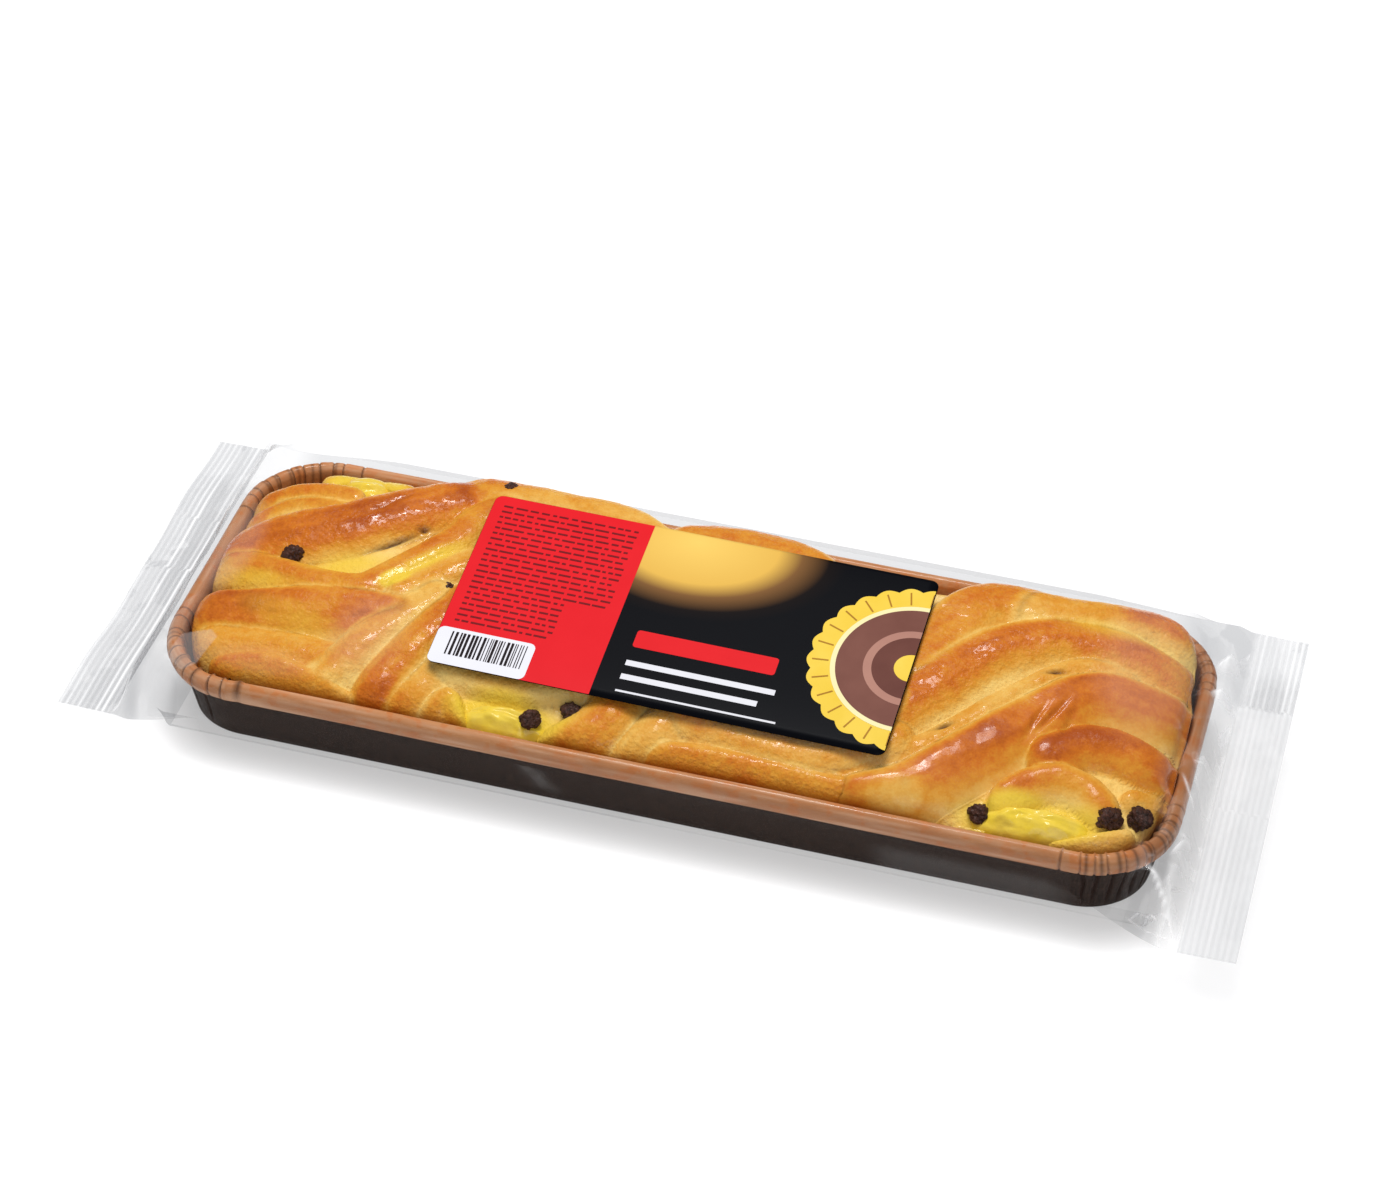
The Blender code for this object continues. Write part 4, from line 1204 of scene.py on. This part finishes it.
# %% Where the top sheet is milky: in the seals, the flap and thin veils, with painted highlights on its facets and creases
VEILS = (
    (134, 16, 16, 30, 0, 0.050),
    (-90, -30, 12, 17, -10, 0.045),
    (-118, -46, 18, 5, 0, 0.030),
    (-142, -4, 9, 20, 0, 0.060),
    (-114, 40, 14, 8, 0, 0.030),
)
FLAP = ((-145, -41), (-136, -38.5), (-133, -41), (-136, -51), (-140, -54), (-147, -50))
facet_shading, edge = facets(x, y)
# Painted light: where the floor under the ends lies in the tray's shadow, the film is made clearer there,
# and milkier at the right end, which lifts that shadow.
right_shade = over_end * smooth(x, 151.0, 154.5) * (1 - smooth(y, 20.0, 40.0))
left_shade = smooth(-x, 138.0, 144.0) * (1 - smooth(-x, 150.0, 154.0)) * smooth(-y, 38.0, 46.0)
in_shade = np.maximum(right_shade, left_shade)
ribs = seal_ribs(x, y)
loose = np.where(x < 0, 1.0, 0.6 * smooth(y, 33.0, 35.0))
milky_and_gleam = in_seal * (0.30 + 0.16 * ribs + (0.65 * ribs ** 1.5 - 0.16 * ribs - 0.27) * loose)
steep_part = 4 * press * (1 - press)
milky_and_gleam = np.maximum(milky_and_gleam, 0.16 * steep_part * (x < 0))
in_flap = inside(x, y, FLAP, 0.5)
milky_and_gleam = np.maximum(milky_and_gleam, 0.10 * in_flap)
for *oval, amount in VEILS:
    milky_and_gleam = np.maximum(milky_and_gleam, amount * soft_oval(x, y, oval, 0.5, 1.2))
# Painted highlights: each facet of the crumpled ends is made milkier by its tone, its edges are drawn as
# thin milky lines, and each crease gets a milky gleam.
milky_and_gleam = np.maximum(milky_and_gleam, over_end * (0.05 * edge + 0.10 * np.clip(facet_shading, 0, 1)))
# Painted light: a milky haze at the right end where the floor below lies in shade.
milky_and_gleam = np.maximum(milky_and_gleam, in_shade * (x > 0) * (0.20 + 0.10 * edge + 0.12 * facet_shading))
milky_and_gleam = np.maximum(milky_and_gleam, gleam * over_end)
print(f"milky share of the top sheet {np.mean(milky_and_gleam > 0.3):.2f}")

# %% How clear the top sheet is: drawn tight over the loaf, slack and greyer at its ends, with painted light and shade
over_loaf = (1 - smooth(np.abs(x), 136.0, 150.0)) * (1 - 0.4 * smooth(-y, 54.0, 56.0))
over_loaf = over_loaf * (1 - 0.35 * in_flap)
slack_left = 0.65 - 0.45 * np.maximum(in_seal, 0.8 * smooth(-y, 20.0, 36.0))
slack = np.where(x < 0, slack_left, 0.25 - 0.20 * loose)
# Painted light and shade: clearer where the floor below is shaded, and each facet's tone makes it greyer
# where low and clearer where high.
clear = between(slack, 1.0, np.maximum(over_loaf, in_shade)) + 0.20 * facet_shading * (1 - over_loaf)
mark_film(bm, x, y, milky_and_gleam, clear)
print(f"clear share of the top sheet {np.mean(clear > 0.9):.2f}")
top_sheet = bm

# %% Shape of the sheet beneath, whose section runs from the front fold under the base to the back fold
LOWER_ROWS = 240
SECTION = (0, 0.10, 0.20, 0.80, 0.90, 1)
KNEE = 7.7
front_knee = -foot_y - 2.5
back_knee = foot_y + 6.0
bm, u, v = grid_of(FILM_COLUMNS, LOWER_ROWS)
x = film_columns(u)
front, back = fold_lines(x)
front_z = fold_height(x, FRONT_FOLD, FRONT_FOLD_DROP)
back_z = fold_height(x, BACK_FOLD, BACK_FOLD_DROP)
press = smooth(np.abs(x), foot_x, SEAL_INNER)
to_front = 1 - ramp(v, 0, SECTION[1])
to_back = ramp(v, SECTION[4], 1)
y = np.interp(v, SECTION, (front_knee, front_knee, -foot_y, foot_y, back_knee, back_knee))
y = between(between(y, front, to_front), back, to_back)
z = np.interp(v, SECTION, (KNEE, KNEE, 0, 0, KNEE, KNEE))
z = between(between(z, front_z, to_front), back_z, to_back)
y = between(y, between(front, back, v), press)
z = between(z, SEAL_HEIGHT - SEAL_GAP, press)
at_fold = between(np.where(v < 0.5, front_z, back_z), SEAL_HEIGHT,
                  smooth(np.abs(x), FILM_HALF_LENGTH, SEAL_INNER))
z = np.where((v < 0.001) | (v > 0.999), at_fold, z)
height, gleam = creased(x, y, LOWER_CREASES)
over_end = smooth(np.abs(x), 136.0, 144.0) * (1 - smooth(np.abs(x), SEAL_INNER - 0.4, SEAL_INNER + 0.8))
z = z + seal_shape(x, y) - 0.12 * height * over_end
move_to(bm, x, y, np.maximum(z, 0.0))
print(f"sheet beneath {y.max() - y.min():.1f} mm wide")

# %% How milky and clear the sheet beneath is, with a painted reflection on the front wall: a slanted streak and a faint glow
reflected_streak = np.exp(-((x + 36 - 0.4 * (29 - z)) / 2.4) ** 2) * (y < 0) * smooth(z, 4.0, 12.0)
reflected_glow = smooth(x, 66.0, 76.0) * (1 - smooth(x, 118.0, 132.0)) * (y < 0) * (1 - smooth(z, 12.0, 20.0))
# Painted reflections on the front wall, and painted gleams along the creases, drawn in as milky film.
milky_and_gleam = np.maximum(gleam * over_end, np.maximum(0.06 * reflected_streak, 0.04 * reflected_glow))
dull = np.maximum(smooth(-x, SEAL_INNER - 0.4, SEAL_INNER + 0.8), smooth(-y, 24.0, 38.0))
slack = np.where(x < 0, 0.60 - 0.40 * dull, 0.40)
under_rim = 0.60 * (1 - smooth(np.abs(x), 140.0, 154.0)) * (y < 0)
# Painted light: over the right end, where the floor below lies in the tray's shadow, the sheet is made
# clearer, which lifts that shadow.
clear = slack + np.maximum(under_rim, 0.6 * over_end * (x > 0) * (1 - smooth(y, 20.0, 40.0)))
behind = smooth(y, 51.0, 55.0) * (1 - smooth(np.abs(x), 140.0, 152.0))
mark_film(bm, x, y, milky_and_gleam, clear, behind)

# %% Open the sheet beneath under the tray's base
under_base = []
for face in bm.faces:
    middle = face.calc_center_median()
    if abs(middle.x) < foot_x and abs(middle.y) < foot_y - 1:
        under_base.append(face)
print(len(under_base), "faces left out")
bmesh.ops.delete(bm, geom=under_base, context="FACES")
bmesh.ops.reverse_faces(bm, faces=bm.faces)
lower_sheet = bm

# %% [markdown]
# Clear film shows by what it reflects and by a faint grey tint, which is stronger at the ends where
# the film is slack. The finish starts from a transparent shader. A glossy one is mixed in at
# slanting angles, as the Facing output of a Layer Weight node gives them, and a white one where the
# film is milky, and where highlights and reflections are painted on it: along the creases, on the
# facets, over the front wall and where the floor below lies in shade. Rays to the lamps meet only the
# palest tint, so the film throws hardly any shadow on the loaf.

# %% Film finish
FILM_WHITE = (0.98, 0.98, 0.99, 1.0)
SLACK_TINT = (0.66, 0.665, 0.675, 1.0)
TIGHT_TINT = (0.97, 0.97, 0.97, 1.0)
material, tree, white = new_finish("clear_film", 0.3, 0.5)
white.inputs["Base Color"].default_value = FILM_WHITE
see_through = tree.nodes.new("ShaderNodeBsdfTransparent")
tint = mix_colours(tree, attribute(tree, "clear"), SLACK_TINT, TIGHT_TINT)
ray = tree.nodes.new("ShaderNodeLightPath")
tint = mix_colours(tree, ray.outputs["Is Shadow Ray"], tint, TIGHT_TINT)
tree.links.new(tint, see_through.inputs["Color"])
reflecting = tree.nodes.new("ShaderNodeBsdfGlossy")
reflecting.inputs["Color"].default_value = WHITE
reflecting.inputs["Roughness"].default_value = 0.12
slant = tree.nodes.new("ShaderNodeLayerWeight")
slant.inputs["Blend"].default_value = 0.5
steep = calculate(tree, "POWER", slant.outputs["Facing"], 4.0)
share = calculate(tree, "MULTIPLY_ADD", steep, 0.2, 0.015)
share = calculate(tree, "MULTIPLY", share, attribute(tree, "shine"))
clean = tree.nodes.new("ShaderNodeMixShader")
tree.links.new(share, clean.inputs["Fac"])
tree.links.new(see_through.outputs["BSDF"], clean.inputs[1])
tree.links.new(reflecting.outputs["BSDF"], clean.inputs[2])
film_mix = tree.nodes.new("ShaderNodeMixShader")
tree.links.new(attribute(tree, "milky_and_gleam"), film_mix.inputs["Fac"])
tree.links.new(clean.outputs["Shader"], film_mix.inputs[1])
tree.links.new(white.outputs["BSDF"], film_mix.inputs[2])
tree.links.new(film_mix.outputs["Shader"], tree.nodes["Material Output"].inputs["Surface"])
finish_piece("film_top", top_sheet, material, "film")
finish_piece("film_beneath", lower_sheet, material, "film")

# %% [markdown]
# ## The label
#
# A paper label lies on the film over the middle of the loaf. Its print is kept to fields of colour
# and simple shapes: a red field with rows of dashes, a white block with bars, and a black field with
# a warm glow at its top, a red bar, white lines and a plain half rosette in yellow and brown.
#
# Each field is a flat outline in the label's own millimetres. It is cut into cells and then laid on
# the film, so that it bends with it. Print lies a few hundredths of a millimetre over the sheet.

# %% Lay flat shapes on the film
LABEL_LENGTH = 138.0
LABEL_WIDTH = 67.0
LABEL_CENTRE = Vector((-1.0, -3.5))
LABEL_TURN = math.radians(-0.6)
LABEL_LIFT = 0.2
FIRST_PRINT = 0.05
SECOND_PRINT = 0.10
THIRD_PRINT = 0.15
PRINT_ROUGHNESS = 0.4
PRINT_SPECULAR = 0.06
CELL = 3.0


def cut_flat(bm, normal, place, keep_below=False):
    """Cut everything flat along a straight line, and drop what lies past it if asked to."""
    geometry = bm.verts[:] + bm.edges[:] + bm.faces[:]
    bmesh.ops.bisect_plane(bm, geom=geometry, dist=0.001, plane_co=Vector(normal) * place,
                           plane_no=normal, clear_outer=keep_below)


def lay_on_film(bm, lift):
    """Cut flat shapes into cells and lift them onto the film."""
    for normal, length in (((1, 0, 0), LABEL_LENGTH), ((0, 1, 0), LABEL_WIDTH)):
        for place in np.arange(-length / 2 + CELL, length / 2, CELL):
            cut_flat(bm, normal, place)
    for vert in bm.verts:
        place = Matrix.Rotation(LABEL_TURN, 2) @ vert.co.xy + LABEL_CENTRE
        vert.co = (place.x, place.y, float(film_height(place.x, place.y)) + lift)


def add_plate(bm, left, right, low, high, corner=0.0, turn=0.0):
    """A flat rectangle, with its corners rounded and turned about its own middle."""
    centre = Vector(((left + right) / 2, (low + high) / 2, 0))
    place = Matrix.Translation(centre) @ Matrix.Rotation(math.radians(turn), 4, "Z")
    size = Matrix.Diagonal((right - left, high - low, 1, 1))
    made = bmesh.ops.create_grid(bm, x_segments=1, y_segments=1, size=0.5, matrix=place @ size)
    if corner:
        bmesh.ops.bevel(bm, geom=made["verts"], offset=corner, segments=5, profile=0.5,
                        affect="VERTICES", material=-1)


def print_on_label(name, bm, lift, ink, colour, second):
    """Lay flat shapes at a lift over the sheet, in an ink with a very faint unevenness."""
    lay_on_film(bm, LABEL_LIFT + lift)
    material, tree, shader = new_finish(ink, PRINT_ROUGHNESS, PRINT_SPECULAR)
    tree.links.new(mix_colours(tree, mottle(tree, 90.0, 1.0), colour, second), shader.inputs["Base Color"])
    finish_piece(name, bm, material, "label")


# %% The sheet, printed black with a glow
LEFT_END, RIGHT_END = -LABEL_LENGTH / 2, LABEL_LENGTH / 2
FRONT_EDGE, BACK_EDGE = -LABEL_WIDTH / 2, LABEL_WIDTH / 2
RED_END = -19.0
GLOW = (
    (0.00, srgb(6, 7, 12)),
    (0.12, srgb(18, 12, 12)),
    (0.30, srgb(112, 78, 44)),
    (0.46, srgb(204, 162, 74)),
    (1.00, srgb(218, 182, 92)),
)
bm = bmesh.new()
add_plate(bm, LEFT_END, RIGHT_END, FRONT_EDGE, BACK_EDGE, corner=2.5)
lay_on_film(bm, LABEL_LIFT)
bmesh.ops.solidify(bm, geom=bm.faces[:], thickness=0.15)
material, tree, shader = new_finish("printed_black", PRINT_ROUGHNESS, PRINT_SPECULAR)
centred = mapped_place(tree, Location=(0.05, -0.90, 0.0), Rotation=(0.0, 0.0, math.radians(-4.0)),
                       Scale=(22.0, 33.0, 0.0))
glow = tree.nodes.new("ShaderNodeTexGradient")
glow.gradient_type = "SPHERICAL"
tree.links.new(centred, glow.inputs["Vector"])
tree.links.new(colour_ramp(tree, glow.outputs["Fac"], GLOW), shader.inputs["Base Color"])
finish_piece("label_sheet", bm, material, "label")

# %% Red field
bm = bmesh.new()
add_plate(bm, LEFT_END + 0.1, RED_END + 6.0, FRONT_EDGE + 0.1, BACK_EDGE - 0.1, corner=2.4)
cut_flat(bm, (1, 0, 0), RED_END, keep_below=True)
print_on_label("label_red_field", bm, FIRST_PRINT, "red_ink", srgb(198, 24, 32), srgb(206, 30, 38))

# %% White block with bars
BLOCK_RIGHT = LEFT_END + 30.0
BLOCK_TOP = FRONT_EDGE + 13.5
BAR_WIDTHS = (0.3, 0.5, 0.8)
BAR_GAPS = (0.3, 0.45, 0.7)
bm = bmesh.new()
add_plate(bm, LEFT_END + 0.1, BLOCK_RIGHT, FRONT_EDGE + 0.1, BLOCK_TOP, corner=2.0)
print_on_label("label_white_block", bm, SECOND_PRINT, "white_ink", srgb(206, 206, 214), srgb(216, 216, 222))

bm = bmesh.new()
bar_x = LEFT_END + 4.5
while bar_x < BLOCK_RIGHT - 2.5:
    width = rng.choice(BAR_WIDTHS)
    add_plate(bm, bar_x, bar_x + width, FRONT_EDGE + 3.6, BLOCK_TOP - 1.3)
    bar_x += width + rng.choice(BAR_GAPS)
print_on_label("label_bars", bm, THIRD_PRINT, "black_ink", srgb(26, 20, 24), srgb(36, 28, 30))

# %% Rows of short dashes, as fine print looks from afar
ROW_STEP = 2.2
ROW_TALL = 0.7
bm = bmesh.new()
row_y = BACK_EDGE - 4.5
while row_y > BLOCK_TOP + 2.0:
    dash_x = LEFT_END + 3.5
    row_end = RED_END - (4.0 if row_y > BACK_EDGE - 36.0 else 17.0)
    while dash_x < row_end - 1.0:
        length = min(rng.uniform(1.0, 4.6), row_end - dash_x)
        add_plate(bm, dash_x, dash_x + length, row_y, row_y + ROW_TALL)
        dash_x += length + rng.uniform(0.5, 1.1)
    row_y -= ROW_STEP
print_on_label("label_dashes", bm, SECOND_PRINT, "dash_ink", srgb(100, 22, 26), srgb(112, 26, 30))

# %% A red bar, two white lines and a thin one
LINE_START = -12.0
WHITE_LINES = ((33.0, -20.6, -18.6), (29.0, -25.8, -23.8), (36.0, -30.4, -29.7))
bm = bmesh.new()
add_plate(bm, LINE_START, 31.0, -13.5, -7.0, corner=1.0)
print_on_label("label_red_bar", bm, FIRST_PRINT, "red_bar_ink", srgb(196, 26, 32), srgb(206, 32, 38))

bm = bmesh.new()
for line_end, low, high in WHITE_LINES:
    add_plate(bm, LINE_START, line_end, low, high)
print_on_label("label_white_lines", bm, FIRST_PRINT, "white_line_ink",
               srgb(200, 200, 206), srgb(210, 210, 216))

# %% A plain half rosette of rings at the right end
PETALS = 26
ROSETTE_MIDDLE = Vector((RIGHT_END - 0.3, -1.0))
LAYER_LIFT = 0.04
RAY_PLACE = 26.5
RAY_LIFT = 0.12
ROSETTE = (
    ("label_rosette_yellow", 30.5, 0.045, srgb(208, 172, 40), srgb(222, 192, 84)),
    ("label_rosette_cream", 23.5, 0.0, srgb(218, 206, 150), srgb(224, 214, 168)),
    ("label_rosette_brown", 22.0, 0.0, srgb(96, 58, 50), srgb(122, 80, 70)),
    ("label_rosette_tan", 14.0, 0.0, srgb(150, 106, 94), srgb(168, 124, 110)),
    ("label_rosette_dark", 11.5, 0.0, srgb(84, 48, 42), srgb(104, 64, 56)),
    ("label_rosette_core", 5.0, 0.0, srgb(208, 172, 40), srgb(222, 192, 84)),
)
for layer, (name, radius, scallop, colour, second) in enumerate(ROSETTE):
    bm = bmesh.new()
    bmesh.ops.create_circle(bm, segments=PETALS * 8, radius=radius, cap_ends=True)
    for vert in bm.verts:
        vert.co *= 1.0 - scallop * (1.0 - abs(math.sin(math.atan2(vert.co.y, vert.co.x) * PETALS / 2)))
    bmesh.ops.translate(bm, vec=ROSETTE_MIDDLE.to_3d(), verts=bm.verts)
    cut_flat(bm, (1, 0, 0), ROSETTE_MIDDLE.x, keep_below=True)
    print_on_label(name, bm, FIRST_PRINT + LAYER_LIFT * layer, name + "_ink", colour, second)

bm = bmesh.new()
for number in range(PETALS // 2 + 1):
    turn = math.radians(90 + 360 * number / PETALS)
    middle = ROSETTE_MIDDLE + RAY_PLACE * Vector((math.cos(turn), math.sin(turn)))
    add_plate(bm, middle.x - 2.4, middle.x + 2.4, middle.y - 0.25, middle.y + 0.25, turn=math.degrees(turn))
cut_flat(bm, (1, 0, 0), ROSETTE_MIDDLE.x, keep_below=True)
print_on_label("label_rosette_rays", bm, RAY_LIFT, "ray_ink", srgb(150, 104, 34), srgb(164, 118, 44))
